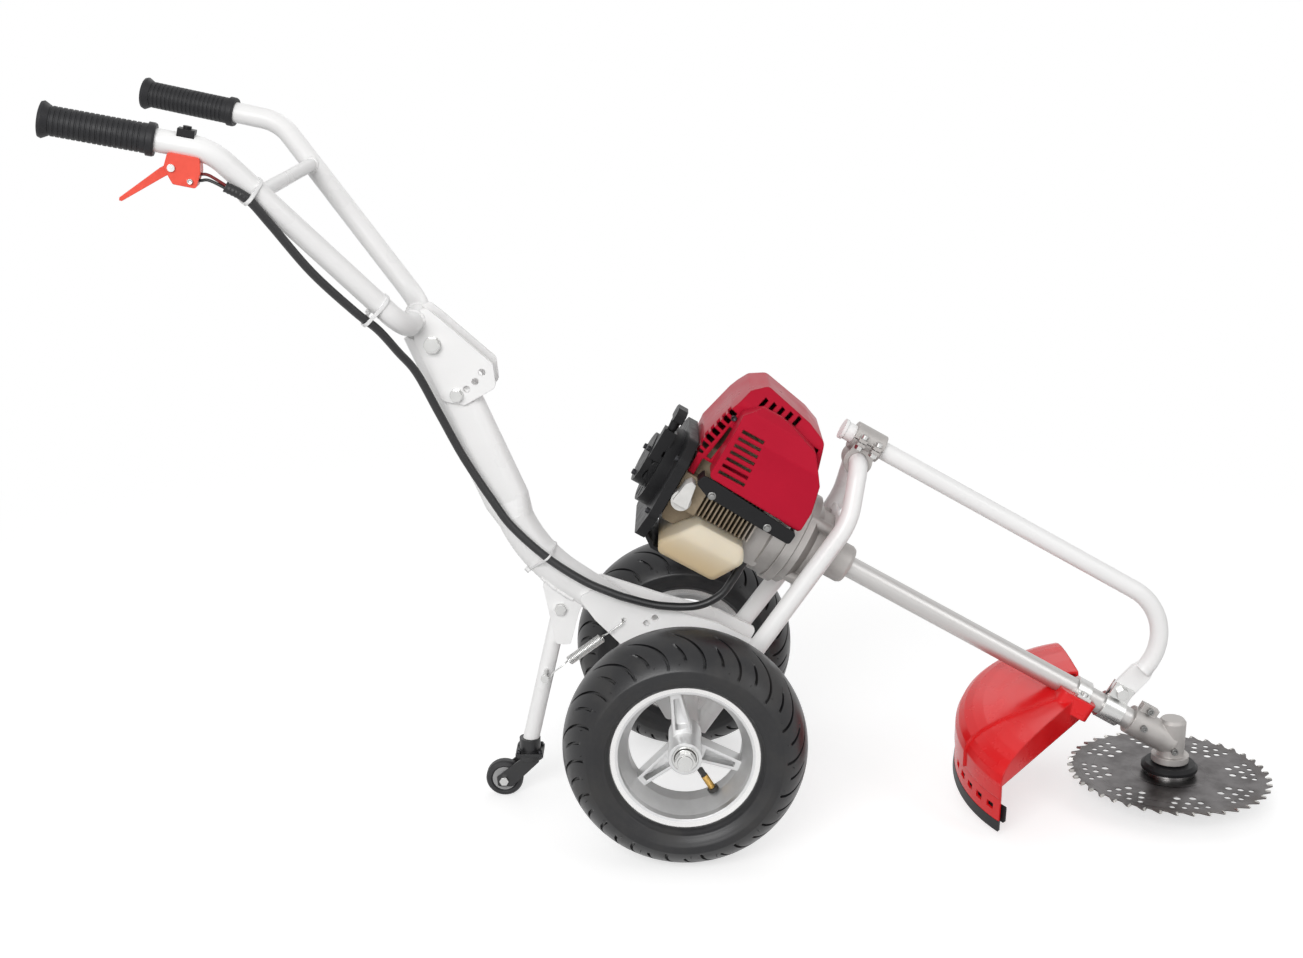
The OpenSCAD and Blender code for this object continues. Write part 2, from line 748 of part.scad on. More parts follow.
// Right or left grip's own frame, Z along the grip from its front collar to its end
module grip_place(side) on_axle() mirror([0, side > 0 ? 1 : 0, 0]) translate(grip_front - grip_dir * 3)
    rotate([0, acos(-grip_dir.z), atan2(-grip_dir.y, -grip_dir.x)]) children();

module grips() color(black) for (s = [-1, 1]) grip_place(s) grip();

// Throttle frame on the right arm: X forward along the handle, Z up, at the tube's centre line
module throttle_place() on_axle() translate(throttle_at)
    rotate([0, 0, atan2(grip_dir.y, grip_dir.x)]) rotate([0, throttle_turn, 0]) children();

module throttle_housing() {
    top = handle_d / 2 - 6;
    outline = rounded([[0, -top - 2], [throttle_len - 3, -top - 2], [throttle_len, -top - throttle_h * 0.5],
        [throttle_len - 2, -top - throttle_h], [10, -top - throttle_h], [-2, -top - throttle_h * 0.55]], 3);
    color("orangered") difference() {
        throttle_place() plate_xz(outline, -throttle_w / 2, throttle_w);
        arm_room();
        throttle_place() {
            lever_room();
            cross_bar(lever_pivot, -throttle_w, throttle_w, throttle_pin_d + 2 * seat);
            cable_socket();
        }
    }
}

module lever_room() translate([lever_pivot.x, 0, lever_pivot.z]) rotate([90, 0, 0]) {
    room = lever_t + 2 * side_gap;
    translate([0, 0, -room / 2]) linear_extrude(room) {
        circle(d = 13);
        for (turn = [-20, 12, lever_angle]) rotate(180 + turn) translate([0, -8]) square([60, 16]);
    }
}

module cable_socket() rotate([0, -throttle_turn, 0]) translate([throttle_len - 16, 0, -36.5])
    rotate([0, 90, 0]) cylinder(h = 40, d = cable_d + 1);

module throttle_lever() {
    tip = lever_len;
    outline = concat([[0, 5], [12, 6]], [[tip, 2.5], [tip + 2, 0], [tip, -2], [14, -4], [0, -5]]);
    color("orangered") throttle_place() difference() {
        translate([lever_pivot.x, 0, lever_pivot.z]) rotate([0, -lever_angle, 0]) mirror([1, 0, 0])
            union() {
            plate_xz(outline, -lever_t / 2, lever_t);
            cross_bar([0, 0, 0], -lever_t / 2, lever_t / 2, 11);
        }
        cross_bar(lever_pivot, -throttle_w, throttle_w, throttle_pin_d + 2 * running);
    }
}

module throttle_pin() color(steel) throttle_place() {
    cross_bar(lever_pivot, -throttle_w / 2 - 1, throttle_w / 2 + 1, throttle_pin_d);
    for (s = [-1, 1])
        cross_bar(lever_pivot, s > 0 ? throttle_w / 2 + seat : -throttle_w / 2 - seat - 2.5,
            s > 0 ? throttle_w / 2 + seat + 2.5 : -throttle_w / 2 - seat, throttle_pin_d * 2);
}

module throttle_clamp() {
    w = 18;
    color([0.25, 0.2, 0.2]) difference() {
        throttle_place() {
            translate([6, -w / 2, handle_d / 2 - 7]) cube([18, w, 12]);
            translate([15, 0, handle_d / 2 + 4]) cylinder(h = 4, d = 9);
        }
        arm_room();
    }
}

// Sweeps a round section along a path with one ring at each point; the rings' side direction is
// carried from point to point so that the tube does not twist
function ring(p, t, side, r, n) =
    let (up = cross(side, t))
    [for (i = [0:n - 1]) p + r * (cos(i * 360 / n) * side + sin(i * 360 / n) * up)];
function carried(path, i, before) = i == len(path) ? [] :
    let (t = tangent(path, i), side = unit(before - (before * t) * t))
    concat([side], carried(path, i + 1, side));
function tangent(path, i) = unit(path[min(i + 1, len(path) - 1)] - path[max(i - 1, 0)]);
function spline(path, per) = let (k = len(path) - 1) concat([for (i = [0:k - 1]) for (j = [0:per - 1])
    let (a = path[max(i - 1, 0)], b = path[i], c = path[i + 1], d = path[min(i + 2, k)], f = j / per)
    0.5 * (2 * b + (c - a) * f + (2 * a - 5 * b + 4 * c - d) * f * f + (3 * b - a - 3 * c + d)
        * f * f * f)],
    [path[k]]);

module sweep(path, d, n) {
    sides = carried(path, 0, [0, 1, 0]);
    rings = [for (i = [0:len(path) - 1]) each ring(path[i], tangent(path, i), sides[i], d / 2, n)];
    last = (len(path) - 1) * n;
    walls = [for (i = [0:len(path) - 2]) for (j = [0:n - 1]) let (a = i * n + j, b = i * n + (j + 1) % n)
        each [[a, b, a + n], [b, b + n, a + n]]];
    ends = [for (j = [1:n - 2]) each [[0, j + 1, j], [last, last + j, last + j + 1]]];
    polyhedron(rings, concat(walls, ends));
}

module throttle_cable() color(black) on_axle() sweep(spline(cable_route, 2), cable_d, cable_sides);

// A tie is a strap round the right arm and the cable beside it
module cable_ties() color("white") on_axle() for (p = tie_places) {
    along = unit(handle_high - handle_low);
    c = handle_low + along * ((p - handle_low) * along);
    gap = norm(p - c);
    v = (p - c) / gap;
    w = cross(along, v);
    multmatrix([[v.x, w.x, along.x, c.x], [v.y, w.y, along.y, c.y], [v.z, w.z, along.z, c.z], [0, 0, 0,
        1]]) {
        translate([0, 0, -tie_w / 2]) linear_extrude(tie_w) difference() {
            tie_loop(gap, tie_t);
            tie_loop(gap, 0);
        }
        slope = asin((handle_d - cable_d - 6 * seat) / 2 / gap);
        rotate(slope - 90) translate([handle_d / 2 + seat + tie_t / 2, 4, -2.5]) cube([4, 5, 5]);
    }
}

module tie_loop(gap, t) hull() {
    circle(d = handle_d + 2 * seat + 2 * t, $fn = 32);
    translate([gap, 0]) circle(d = cable_d + 8 * seat + 2 * t, $fn = 32);
}

// Stand frame: origin at the pivot, Z up along the leg
module on_leg() on_axle() translate(stand_at) rotate([0, stand_lean, 0]) children();

module stand_bracket() {
    ear = rounded([[-22, 34], [32, 20], [22, -6], [12, -46], [-6, -46], [-16, 4]], 4);
    web_x = leg_d / 2 + side_gap;
    // Web in front of the leg, from below the sweep of the leg's head
    web_top = 0.4 * leg_d;
    web_foot = 44;
    color(white) difference() {
        on_axle() translate(stand_at) {
            for (s = [-1, 1]) plate_xz(ear, s > 0 ? stand_ear_y : -stand_ear_y - stand_ear_t, stand_ear_t);
            rotate([0, stand_lean, 0]) translate([web_x, -stand_ear_y - 1, -web_foot])
                cube([3, 2 * stand_ear_y + 2, web_foot - web_top]);
        }
        on_axle() bent_rod([column_top, column_knee, column_foot], [column_bend_r], column_d + 2 * seat);
        on_axle() cross_bar(stand_at, -60, 60, stand_bolt_d + 2 * seat);
    }
}

module stand_bolt() {
    face = stand_ear_y + stand_ear_t + seat;
    color(steel) on_axle() {
        cross_bar(stand_at, -face - 1, face + 1, stand_bolt_d);
        for (s = [-1, 1]) cross_hex(stand_at, s > 0 ? face : -face - 6, s > 0 ? face + 6 : -face,
            stand_bolt_d * 1.6);
    }
}

module stand_leg() {
    plate_w = 34;
    boss_h = 20;
    color(white) difference() {
        union() {
            on_leg() difference() {
                rotate_extrude()
                    polygon([[0, -stand_len], [leg_d / 2, -stand_len], [leg_d / 2, 6], [leg_d / 2 - 3,
                        9], [0, 9]]);
                translate([0, 0, -stand_len - 1]) cylinder(h = stand_len - 14, d = leg_d - 2 * leg_wall);
                cross_bar([0, 0, 0], -leg_d, leg_d, stand_bolt_d + 2 * running);
            }
            on_leg() cross_bar([0, 0, -spring_leg], spring_y - 2.5, 0, spring_stud_d);
            on_leg() cross_bar([0, 0, -spring_leg], spring_y - 4.5, spring_y - 2, spring_stud_d + 4);
            on_axle() translate([swivel_x - plate_w / 2, -plate_w / 2, caster_top]) cube([plate_w,
                plate_w, 4]);
            on_axle() translate([swivel_x, 0, caster_top]) cylinder(h = boss_h, d = leg_d + 6);
        }
        on_axle() translate([swivel_x, 0, caster_top - 1]) cylinder(h = 10, d = 10 + 2 * running);
    }
}

// Tension spring outside the right base plate: a hook round the leg's stud, the curls and a hook
// through the plate's hole
spring_y = -base_y - base_t - spring_d / 2 - spring_wire_d / 2 - 1;
leg_stud = [stand_at.x - spring_leg * sin(stand_lean), stand_at.z - spring_leg * cos(stand_lean)];
spring_span = norm(spring_frame - leg_stud);
spring_tilt = atan2(spring_frame.y - leg_stud.y, spring_frame.x - leg_stud.x);
spring_pitch = spring_wire_d + 0.9;
spring_body = spring_curls * spring_pitch;
spring_steps = 8;
spring_start = (spring_span - spring_body) / 2;
hook_r = spring_stud_d / 2 + spring_wire_d / 2 + seat;
hook_x = spring_span - (spring_hole_d - spring_wire_d) / 2 + seat;
curl_points = [for (i = [0:spring_curls * spring_steps])
    let (turn = i * 360 / spring_steps)
    [spring_start + i * spring_pitch / spring_steps, spring_d / 2 * cos(turn), spring_d / 2 * sin(turn)]];
spring_path = concat([for (turn = [70:40:290]) hook_r * [cos(turn), 0, sin(turn)]],
    [[hook_r + 4, 0, -2], [hook_r + 10, 0, 0], [spring_start - 4, 0.5, -2]], curl_points,
    [[spring_start + spring_body + 3, 1.5, 1], [spring_start + spring_body + 7, 0, 0], [hook_x - 2, 0, 0],
     [hook_x, 2, 0], [hook_x, 10, 0]]);
spring_gap = min([for (i = [0:len(curl_points) - spring_steps - 1])
    norm(curl_points[i + spring_steps] - curl_points[i])]) - spring_wire_d;
echo(least_gap_between_spring_curls = spring_gap);

module stand_spring() color(steel) on_axle() translate([leg_stud.x, spring_y, leg_stud.y])
    rotate([0, -spring_tilt, 0]) sweep(spring_path, spring_wire_d, 6);

module caster_fork() {
    gap = caster_w / 2 + side_gap;
    arm = rounded([[-9, caster_top - fork_t - side_gap], [16, caster_top - fork_t - side_gap],
        [8 - caster_trail + 2, caster_d / 2 - 8], [-caster_trail - 8, caster_d / 2 - 8],
        [-caster_trail - 9, caster_d / 2 + 4]], 3);
    color(black) on_axle() difference() {
        union() {
            for (s = [-1, 1]) translate([swivel_x, 0, 0]) plate_xz(arm, s > 0 ? gap : -gap - fork_t,
                fork_t);
            translate([swivel_x, 0, caster_top - fork_t - side_gap - 3]) cylinder(h = fork_t + 3, d = 32);
            translate([swivel_x, 0, caster_top - 8]) cylinder(h = 16, d = 10);
        }
        cross_bar([swivel_x - caster_trail, 0, caster_d / 2], -40, 40, 6 + 2 * seat);
        translate([swivel_x - caster_trail, 0, caster_d / 2]) rotate([90, 0, 0])
            cylinder(h = 2 * gap, d = caster_d + 4 * side_gap, center = true);
    }
}

module caster_axle() {
    face = caster_w / 2 + side_gap + fork_t + seat;
    at = [swivel_x - caster_trail, 0, caster_d / 2];
    color(steel) on_axle() {
        cross_bar(at, -face - 1, face + 1, 6);
        for (s = [-1, 1]) cross_hex(at, s > 0 ? face : -face - 4, s > 0 ? face + 4 : -face, 10);
    }
}

module caster_wheel() {
    r = caster_d / 2;
    half = caster_w / 2;
    color(black) on_axle() translate([swivel_x - caster_trail, 0, r]) rotate([90, 0, 0]) rotate_extrude()
        polygon([[3 + running, -half], [7, -half], [8, 3 - half], [r - 8, 3 - half], [r - 6, 1 - half],
            [r - 2, 2 - half],
            [r, 5 - half], [r, half - 5], [r - 2, half - 2], [r - 6, half - 1], [r - 8, half - 3], [8,
                half - 3],
            [7, half], [3 + running, half]]);
}

// Cross clamp between the hoop and the bar
module cross_clamp() {
    block_w = 2 * hoop_half - 32;
    lug = 10;
    color(cast_grey) on_axle() difference() {
        translate(bar_cross) rotate([0, drive_angle, 0]) union() {
            rotate([0, 90, 0]) cylinder(h = clamp_len, d = bar_d + 2 * clamp_wall, center = true);
            for (s = [-1, 1]) translate([s * clamp_len / 4, 0, 0])
                cube([lug, 2 * clamp_bolt_y + 11, 9], center = true);
            translate([-clamp_len / 2 + 4, -block_w / 2, -bar_d / 2 - hoop_d / 2 - 2])
                cube([clamp_len - 8, block_w, bar_d / 2 + hoop_d / 2]);
            translate([0, 0, -(bar_d + hoop_d) / 2 - 2]) rotate([90, 0, 0])
                cylinder(h = block_w, d = hoop_d + 2 * clamp_wall, center = true);
        }
        rod(bar_rear - drive_dir * 60, bar_corner, bar_d + 2 * seat);
        hoop_room();
        translate(bar_cross) rotate([0, drive_angle, 0]) {
            for (s = [-1, 1]) translate([0, s * clamp_bolt_y, 0]) cube([clamp_len * 2, 23, 1],
                center = true);
            for (s = [-1, 1]) for (t = [-1, 1])
                translate([t * clamp_len / 4, s * clamp_bolt_y, -30]) cylinder(h = 60, d = 5 + 2 * seat);
        }
    }
}

module clamp_bolts() color(steel) on_axle() translate(bar_cross) rotate([0, drive_angle, 0])
    for (s = [-1, 1]) for (t = [-1, 1]) translate([t * clamp_len / 4, s * clamp_bolt_y, 0]) {
        translate([0, 0, -8]) cylinder(h = 14, d = 5);
        translate([0, 0, 4.5 + seat]) cylinder(h = 5, d = 8);
        translate([0, 0, -4.5 - seat - 5]) cylinder(h = 5, d = 9 / cos(30), $fn = 6);
    }

// Bent bar with a closed front end that carries a flat tab with a hole
module support_bar() {
    tab_dir = unit(bar_foot - bar_corner);
    tab_top = bar_foot - tab_dir * tab_len;
    closed = 8;
    outline = concat([[-tab_w / 2 + 5, -closed / 2], [tab_w / 2 - 5, -closed / 2], [tab_w / 2, 10]],
        [for (i = [0:12]) tab_w / 2 * [cos(i * 15), sin(i * 15)] + [0, tab_len - 4]], [[-tab_w / 2, 10]]);
    color(white) on_axle() difference() {
        union() {
            bent_rod([bar_rear, bar_corner, tab_top], [bar_bend_r], bar_d);
            translate(tab_top) rotate([0, atan2(tab_dir.x, tab_dir.z), 0]) plate_xz(outline, -tab_t / 2,
                tab_t);
        }
        bent_rod([bar_rear, bar_corner, tab_top - tab_dir * closed], [bar_bend_r], bar_d - 2 * bar_wall,
            extra = 1);
        cross_bar(bar_foot, -20, 20, 8 + 2 * seat);
    }
}

module bar_plug() color(white) on_axle() translate(bar_rear) rotate([0, drive_angle, 0]) rotate([0, -90,
    0]) {
    translate([0, 0, -12]) cylinder(h = 13, d = bar_d - 2 * bar_wall - 2 * seat);
    translate([0, 0, seat]) cylinder(h = 4, d = bar_d + 3);
}

// Split band round the drive tube with two ears that take the bar's tab
module bar_foot_clamp() {
    ear = 3.5;
    band = tube_d / 2 + 4;
    color(steel) on_drive() {
        difference() {
            union() {
                along_drive(bar_foot_a - 14, bar_foot_a + 14, 2 * band);
                for (s = [-1, 1]) translate([bar_foot_a - 13,
                    s > 0 ? tab_t / 2 + seat : -tab_t / 2 - seat - ear, 0])
                    cube([26, ear, bar_tab_lift + 9]);
            }
            along_drive(bar_foot_a - 20, bar_foot_a + 20, tube_d + 2 * seat);
            translate([bar_foot_a - 20, -tab_t / 2 - seat, 0]) cube([40, tab_t + 2 * seat, 80]);
            cross_bar([bar_foot_a, 0, bar_tab_lift], -20, 20, 8 + 2 * seat);
        }
        cross_bar([bar_foot_a, 0, bar_tab_lift], -9, 9, 8);
        face = tab_t / 2 + ear + 2 * seat;
        for (s = [-1, 1])
            cross_hex([bar_foot_a, 0, bar_tab_lift], s > 0 ? face : -face - 6, s > 0 ? face + 6 : -face,
                13);
    }
}

// Engine: a rounded box whose side view and end view are both drawn
module cover_form(side_view, end_view, a0, a1, y0, y1) {
    intersection() {
        plate_xz(side_view, y0, y1 - y0);
        translate([a0, 0, 0]) rotate([90, 0, 90]) linear_extrude(a1 - a0) polygon(end_view);
    }
}

module engine_block() {
    fin_pitch = 5.4;
    color([0.35, 0.33, 0.3]) on_drive() difference() {
        union() {
            plate_xz(rounded([[-246, -46], [-118, -46], [-118, 34], [-138, 58], [-232, 58], [-246, 34]],
                6), -44, 92);
            along_drive(-122, housing_rear - seat, 2 * housing_r - 6);
            translate([-222, -40, 50]) cube([86, 84, 70]);
            for (i = [0:fin_count - 1]) translate([-212 + i * fin_pitch, -64, -18]) cube([fin_t, 26, 46]);
            translate([-249, -64.5, -20]) cube([34, 24.5, 42]);
        }
        along_drive(-242, -90, crank_d + 2 * running);
        // Crank chamber and cylinder
        plate_xz(rounded([[-240, -40], [-124, -40], [-124, 32], [-141, 52], [-229, 52], [-240, 32]], 4),
            -38, 80);
        translate([-179, 2, 40]) cylinder(h = 74, d = 72);
    }
}

module top_cover() {
    side_view = rounded([[-247, 34], [-250, 66], [-239, 112], [-229, 138], [-212, 151], [-150, 138],
        [-126, 128],
        [-114, 90], [-112, 34]], 8);
    end_view = rounded([[-60, 30], [62, 30], [58, 124], [38, 154], [-34, 154], [-58, 122]], 12);
    inner_side = rounded([[-244, 20], [-247, 66], [-236, 112], [-226, 136], [-211, 147], [-151, 134],
        [-129, 125],
        [-117, 90], [-115, 20]], 6);
    inner_end = rounded([[-57, 20], [59, 20], [55, 123], [36, 150], [-32, 150], [-55, 121]], 10);
    color(red) on_drive() difference() {
        cover_form(side_view, end_view, -260, -100, -70, 70);
        cover_form(inner_side, inner_end, -260, -100, -70, 70);
        translate([-300, -100, 0]) cube([300, 200, 44]);
        along_drive(-126, -100, 2 * housing_r - 6 + 2 * seat);
        // Opening behind the muffler cover, louvres on the shoulder and vents down the rear edge
        translate([-222, -90, 52]) cube([94, 40, 66]);
        for (i = [0:4]) translate([-214 + i * 11, -90, 128]) rotate([0, 20, 0]) cube([5, 60, 12]);
        for (i = [0:6]) translate([-262, -66, 50 + i * 11]) rotate([0, 13, 0]) translate([0, 0, -i])
            cube([19 + 2.2 * i, 24, 6]);
        translate([-237, -90, 48]) rotate([0, 8, 0]) cube([6, 50, 44]);
    }
    // Foot that reaches down to the block beside the oil filler
    color(red) on_drive() translate([-247.5, -59.5, 22.5]) cube([8, 3.5, 26]);
}

module muffler_cover() {
    side_view = rounded([[-228, 36], [-228, 116], [-207, 137], [-170, 130], [-134, 118], [-112, 88],
        [-104, 56],
        [-104, 28], [-116, 28], [-130, 31]], 6);
    end_view = rounded([[-61, 24], [-92, 28], [-95, 98], [-84, 124], [-61, 142]], 8);
    inner_side = rounded([[-225, 20], [-225, 115], [-206, 133], [-171, 126], [-136, 115], [-115, 86],
        [-107, 56],
        [-107, 18]], 4);
    inner_end = rounded([[-40, 18], [-89, 20], [-92, 97], [-82, 121], [-40, 139]], 6);
    color(red) on_drive() difference() {
        cover_form(side_view, end_view, -240, -100, -100, -60.5);
        cover_form(inner_side, inner_end, -240, -100, -100, -40);
        for (i = [0:slot_count - 1]) translate([-221, -100, 45 + i * 9]) cube([34 - i, 20, slot_h]);
    }
}

module lower_shroud() {
    side_view = rounded([[-236, 22], [-233, 34], [-222, 34.5], [-106, 25.5], [-107, 10], [-150, 11],
        [-218, 14]], 4);
    color(black) on_drive() difference() {
        plate_xz(side_view, -91, 26);
        plate_xz(rounded([[-232, 20], [-229, 60], [-110, 60], [-110, 13], [-150, 14], [-216, 17]], 3),
            -88, 40);
    }
}

module air_cleaner() {
    side_view = rounded([[-236, 8], [-236, 84], [-150, 92], [-142, 20]], 12);
    end_view = rounded([[48.2, 0], [48.2, 37], [62.3, 37], [62.3, 100], [104, 90], [106, 10], [92, 0]], 6);
    color(black) on_drive() cover_form(side_view, end_view, -240, -130, 40, 110);
}

module starter_housing() {
    end_view = rounded([[-62, -74], [62, -74], [82, -40], [78, 36], [50, 57], [-56, 57], [-80, 34],
        [-82, -40]], 14);
    guard_view = [[-262, -58], [-237, -76], [-160, -76], [-160, -80], [-239, -80], [-264, -62]];
    color(black) on_drive() difference() {
        union() {
            translate([-264, 0, 0]) rotate([90, 0, 90]) linear_extrude(12) polygon(end_view);
            along_drive(-278, -263, 100, 0, starter_w);
            along_drive(-293, -277, 64, 0, starter_w);
            translate([-292, rope_y - 9, starter_w + 10]) cube([16, 18, 40]);
            plate_xz(guard_view, -60, 116);
        }
        // Air slots round the rope drum and the rope's straight guide
        for (i = [0:11]) translate([-280, 0, starter_w]) rotate([i * 30, 0, 0]) translate([0, -3, 34])
            cube([9, 6, 12]);
        translate([rope_a, rope_y, -20]) cylinder(h = 100, d = rope_d + 1);
    }
}

module starter_grip() {
    color(black) on_drive() translate([rope_a, rope_y, starter_w + 50 + side_gap]) {
        translate([0, 0, -50]) cylinder(h = 62, d = rope_d);
        cylinder(h = 10, d1 = 10, d2 = 12);
        translate([0, 0, 10]) cylinder(h = 6, d = 12);
        translate([0, 0, 18]) rotate([90, 0, 90]) linear_extrude(12, center = true)
            polygon(rounded([[-17, -5], [17, -5], [19, 6], [10, 11], [-10, 11], [-19, 6]], 3));
    }
}

module oil_filler() color("gainsboro") on_drive() translate([-239, -64.5 - seat, -8]) rotate([90, 0, 0]) {
    cylinder(h = 14, d = 24);
    linear_extrude(22) polygon(rounded([[-10, -4], [10, -4], [5, 26], [-1, 28], [-6, 22]], 2));
}

module fuel_tank() {
    side_view = rounded([[-240, -60], [-209, -19], [-150, -19], [-142, -34], [-161, -72], [-233, -73]], 9);
    end_view = rounded([[-47, -10], [-88, -12], [-94, -40], [-86, -74], [56, -74], [56, -47.5], [-47,
        -47.5]], 6);
    color("antiquewhite") on_drive() union() {
        cover_form(side_view, end_view, -245, -135, -100, 60);
        translate(fuel_neck) rotate([-90, 0, 0]) cylinder(h = 9, d = fuel_neck_d);
    }
}

module fuel_cap() color(black) on_drive() translate(fuel_neck + [0, 2 + side_gap, 0]) rotate([-90, 0,
    0]) difference() {
    union() {
        cylinder(h = 12, d = fuel_cap_d * 0.72);
        for (i = [0:11]) rotate(i * 30) translate([fuel_cap_d * 0.33, -1.5, 0]) cube([2.5, 3, 12]);
    }
    translate([0, 0, -1]) cylinder(h = 9, d = fuel_neck_d + 2 * running);
}

module clutch_housing() {
    front = mount_a;
    bore = drum_d / 2 + 2;
    bush = shaft_d / 2 + running;
    outer = [[tube_d / 2 + seat, -14], [tube_d / 2 + seat, tube_rear - seat], [bush, tube_rear - seat],
        [bush, front - 3],
        [bore, front - 3], [bore, -84], [bore + 8, -90], [bore + 8, housing_rear], [housing_r,
            housing_rear],
        [housing_r, -92], [housing_r - 4, -90], [housing_r - 4, -82], [46, -72], [46, front], [neck_r,
            front],
        [neck_r, -18], [neck_r - 2, -14]];
    color(cast_grey) on_drive() difference() {
        union() {
            rotate([0, 90, 0]) rotate_extrude() polygon(outer);
            for (y = [-36, 36]) for (w = [-36, 36]) difference() {
                along_drive(-90, front, 15, y, w);
                along_drive(housing_rear, front, 2 * bore + 4);
            }
        }
        for (y = [-36, 36]) for (w = [-36, 36]) along_drive(front - 18, front + 1, mount_screw_d, y, w);
    }
}

// Crankshaft with the clutch's two shoes inside the drum
module clutch_rotor() {
    shoe_r = drum_d / 2 - drum_wall - 1;
    color([0.45, 0.45, 0.47]) on_drive() {
        along_drive(-241, rotor_rear + 20, crank_d);
        for (s = [0, 180]) rotate([s, 0, 0]) translate([rotor_rear + 4, 0, 0]) rotate([0, 90, 0])
            rotate(-78)
            rotate_extrude(angle = 156) translate([crank_d / 2 - 0.5, 0]) square([shoe_r - crank_d / 2,
                14]);
    }
}

// Drive
module drive_tube() color("lightgray") on_drive() difference() {
    along_drive(tube_rear, tube_front, tube_d);
    along_drive(tube_rear - 1, tube_front + 1, tube_d - 2 * tube_wall);
}

// Bevel gear pair: pitch cones that meet where the shafts' axes cross
shaft_angle = 90 - drive_angle;
pinion_cone = atan2(sin(shaft_angle), gear_teeth / pinion_teeth + cos(shaft_angle));
gear_cone = shaft_angle - pinion_cone;
cone_len = gear_r / sin(gear_cone);
tooth_m = 2 * gear_r / gear_teeth;

// Bevel gear along +Z with its cone's tip at the origin
module bevel(teeth, cone) {
    back = cone_len;
    front = cone_len - face_w;
    step = 360 / teeth;
    top = 0.75 * tooth_m;
    foot = 1.2 * tooth_m;
    function at(l, lift, turn) =
        let (r = l * sin(cone) + lift * l / back * cos(cone), z = l * cos(cone)
            - lift * l / back * sin(cone))
        [r * cos(turn), r * sin(turn), z];
    rotate_extrude() polygon([[0, front * cos(cone) + foot * front / back * sin(cone)],
        [front * sin(cone) - foot * front / back * cos(cone), front * cos(cone)
            + foot * front / back * sin(cone)],
        [back * sin(cone) - foot * cos(cone), back * cos(cone) + foot * sin(cone)],
        [back * sin(cone) - foot * cos(cone), back * cos(cone) + foot * sin(cone) + 3],
        [0, back * cos(cone) + foot * sin(cone) + 3]]);
    for (i = [0:teeth - 1]) {
        c = i * step;
        low = 0.27 * step;
        high = 0.12 * step;
        points = [for (l = [front, back]) each [at(l, -foot - 0.3, c - low), at(l, -foot - 0.3, c + low),
            at(l, top, c + high), at(l, top, c - high)]];
        polyhedron(points, [[3, 2, 1, 0], [4, 5, 6, 7], [1, 5, 4, 0], [2, 6, 5, 1], [3, 7, 6, 2], [0, 4,
            7, 3]]);
    }
}

module drive_shaft() color(steel) on_drive() {
    along_drive(rotor_rear + 22, gear_a - cone_len * cos(pinion_cone) + 2, shaft_d);
    difference() {
        along_drive(rotor_rear + 1, drum_front, drum_d);
        along_drive(rotor_rear, drum_front - drum_wall, drum_d - 2 * drum_wall);
    }
    translate([gear_a, 0, 0]) rotate([0, -90, 0]) bevel(pinion_teeth, pinion_cone);
}

module gear_case() {
    neck_d = tube_d + 10;
    color(cast_grey) on_axle() difference() {
        union() {
            translate([gear_at.x, 0, barrel_foot]) cylinder(h = barrel_top - barrel_foot, d = barrel_d);
            translate([gear_at.x, 0, barrel_top - seat]) cylinder(h = 4, d1 = barrel_d, d2 = barrel_d - 6);
            translate([gear_at.x, 0, barrel_foot]) cylinder(h = 8, d = barrel_d + 12);
            translate(gear_at) rotate([0, drive_angle, 0]) {
                along_drive(-62, 0, neck_d);
                translate([-58, -6, 0]) cube([22, 12, neck_d / 2 + 9]);
            }
        }
        translate(gear_at) rotate([0, drive_angle, 0]) {
            along_drive(-70, tube_front - gear_a + 2, tube_d + 2 * seat);
            along_drive(-70, -4, 24);
            translate([-70, -1, 0]) cube([36, 2, 50]);
            translate([-47, 0, neck_d / 2 + 4]) rotate([90, 0, 0]) cylinder(h = 40, d = 5, center = true);
        }
        translate([gear_at.x, 0, barrel_foot + 10]) cylinder(h = barrel_top - barrel_foot - 10,
            d = 2 * gear_r + 3);
        translate([gear_at.x, 0, barrel_foot - 1]) cylinder(h = 20, d = spindle_d + 2 * running);
    }
}

module spindle() color(steel) on_axle() translate([gear_at.x, 0, 0]) {
    holder_z = blade_z + blade_t;
    translate([0, 0, blade_z - 8]) cylinder(h = barrel_top - blade_z, d = spindle_d);
    translate(gear_at - [gear_at.x, 0, 0]) bevel(gear_teeth, gear_cone);
    translate([0, 0, holder_z]) cylinder(h = 5, d = 52);
    translate([0, 0, holder_z - blade_t + 0.3]) cylinder(h = 4, d = blade_bore - 2 * seat);
    translate([0, 0, blade_z - 5]) cylinder(h = 5, d1 = 34, d2 = 44);
    translate([0, 0, blade_z - 13]) cylinder(h = 9, d = 19 / cos(30), $fn = 6);
}

module dust_collar() {
    low = blade_z + blade_t + 6;
    high = barrel_foot - low - seat;
    color(black) on_axle() translate([gear_at.x, 0, low]) rotate_extrude()
        polygon([[6, 3], [30, 3], [33, 0], [34, 0], [34, 4], [30, 8], [barrel_d / 2 + 2, 8],
            [barrel_d / 2 + 2, high],
            [barrel_d / 2 - 4, high], [barrel_d / 2 - 5, 6], [6, 6]]);
}

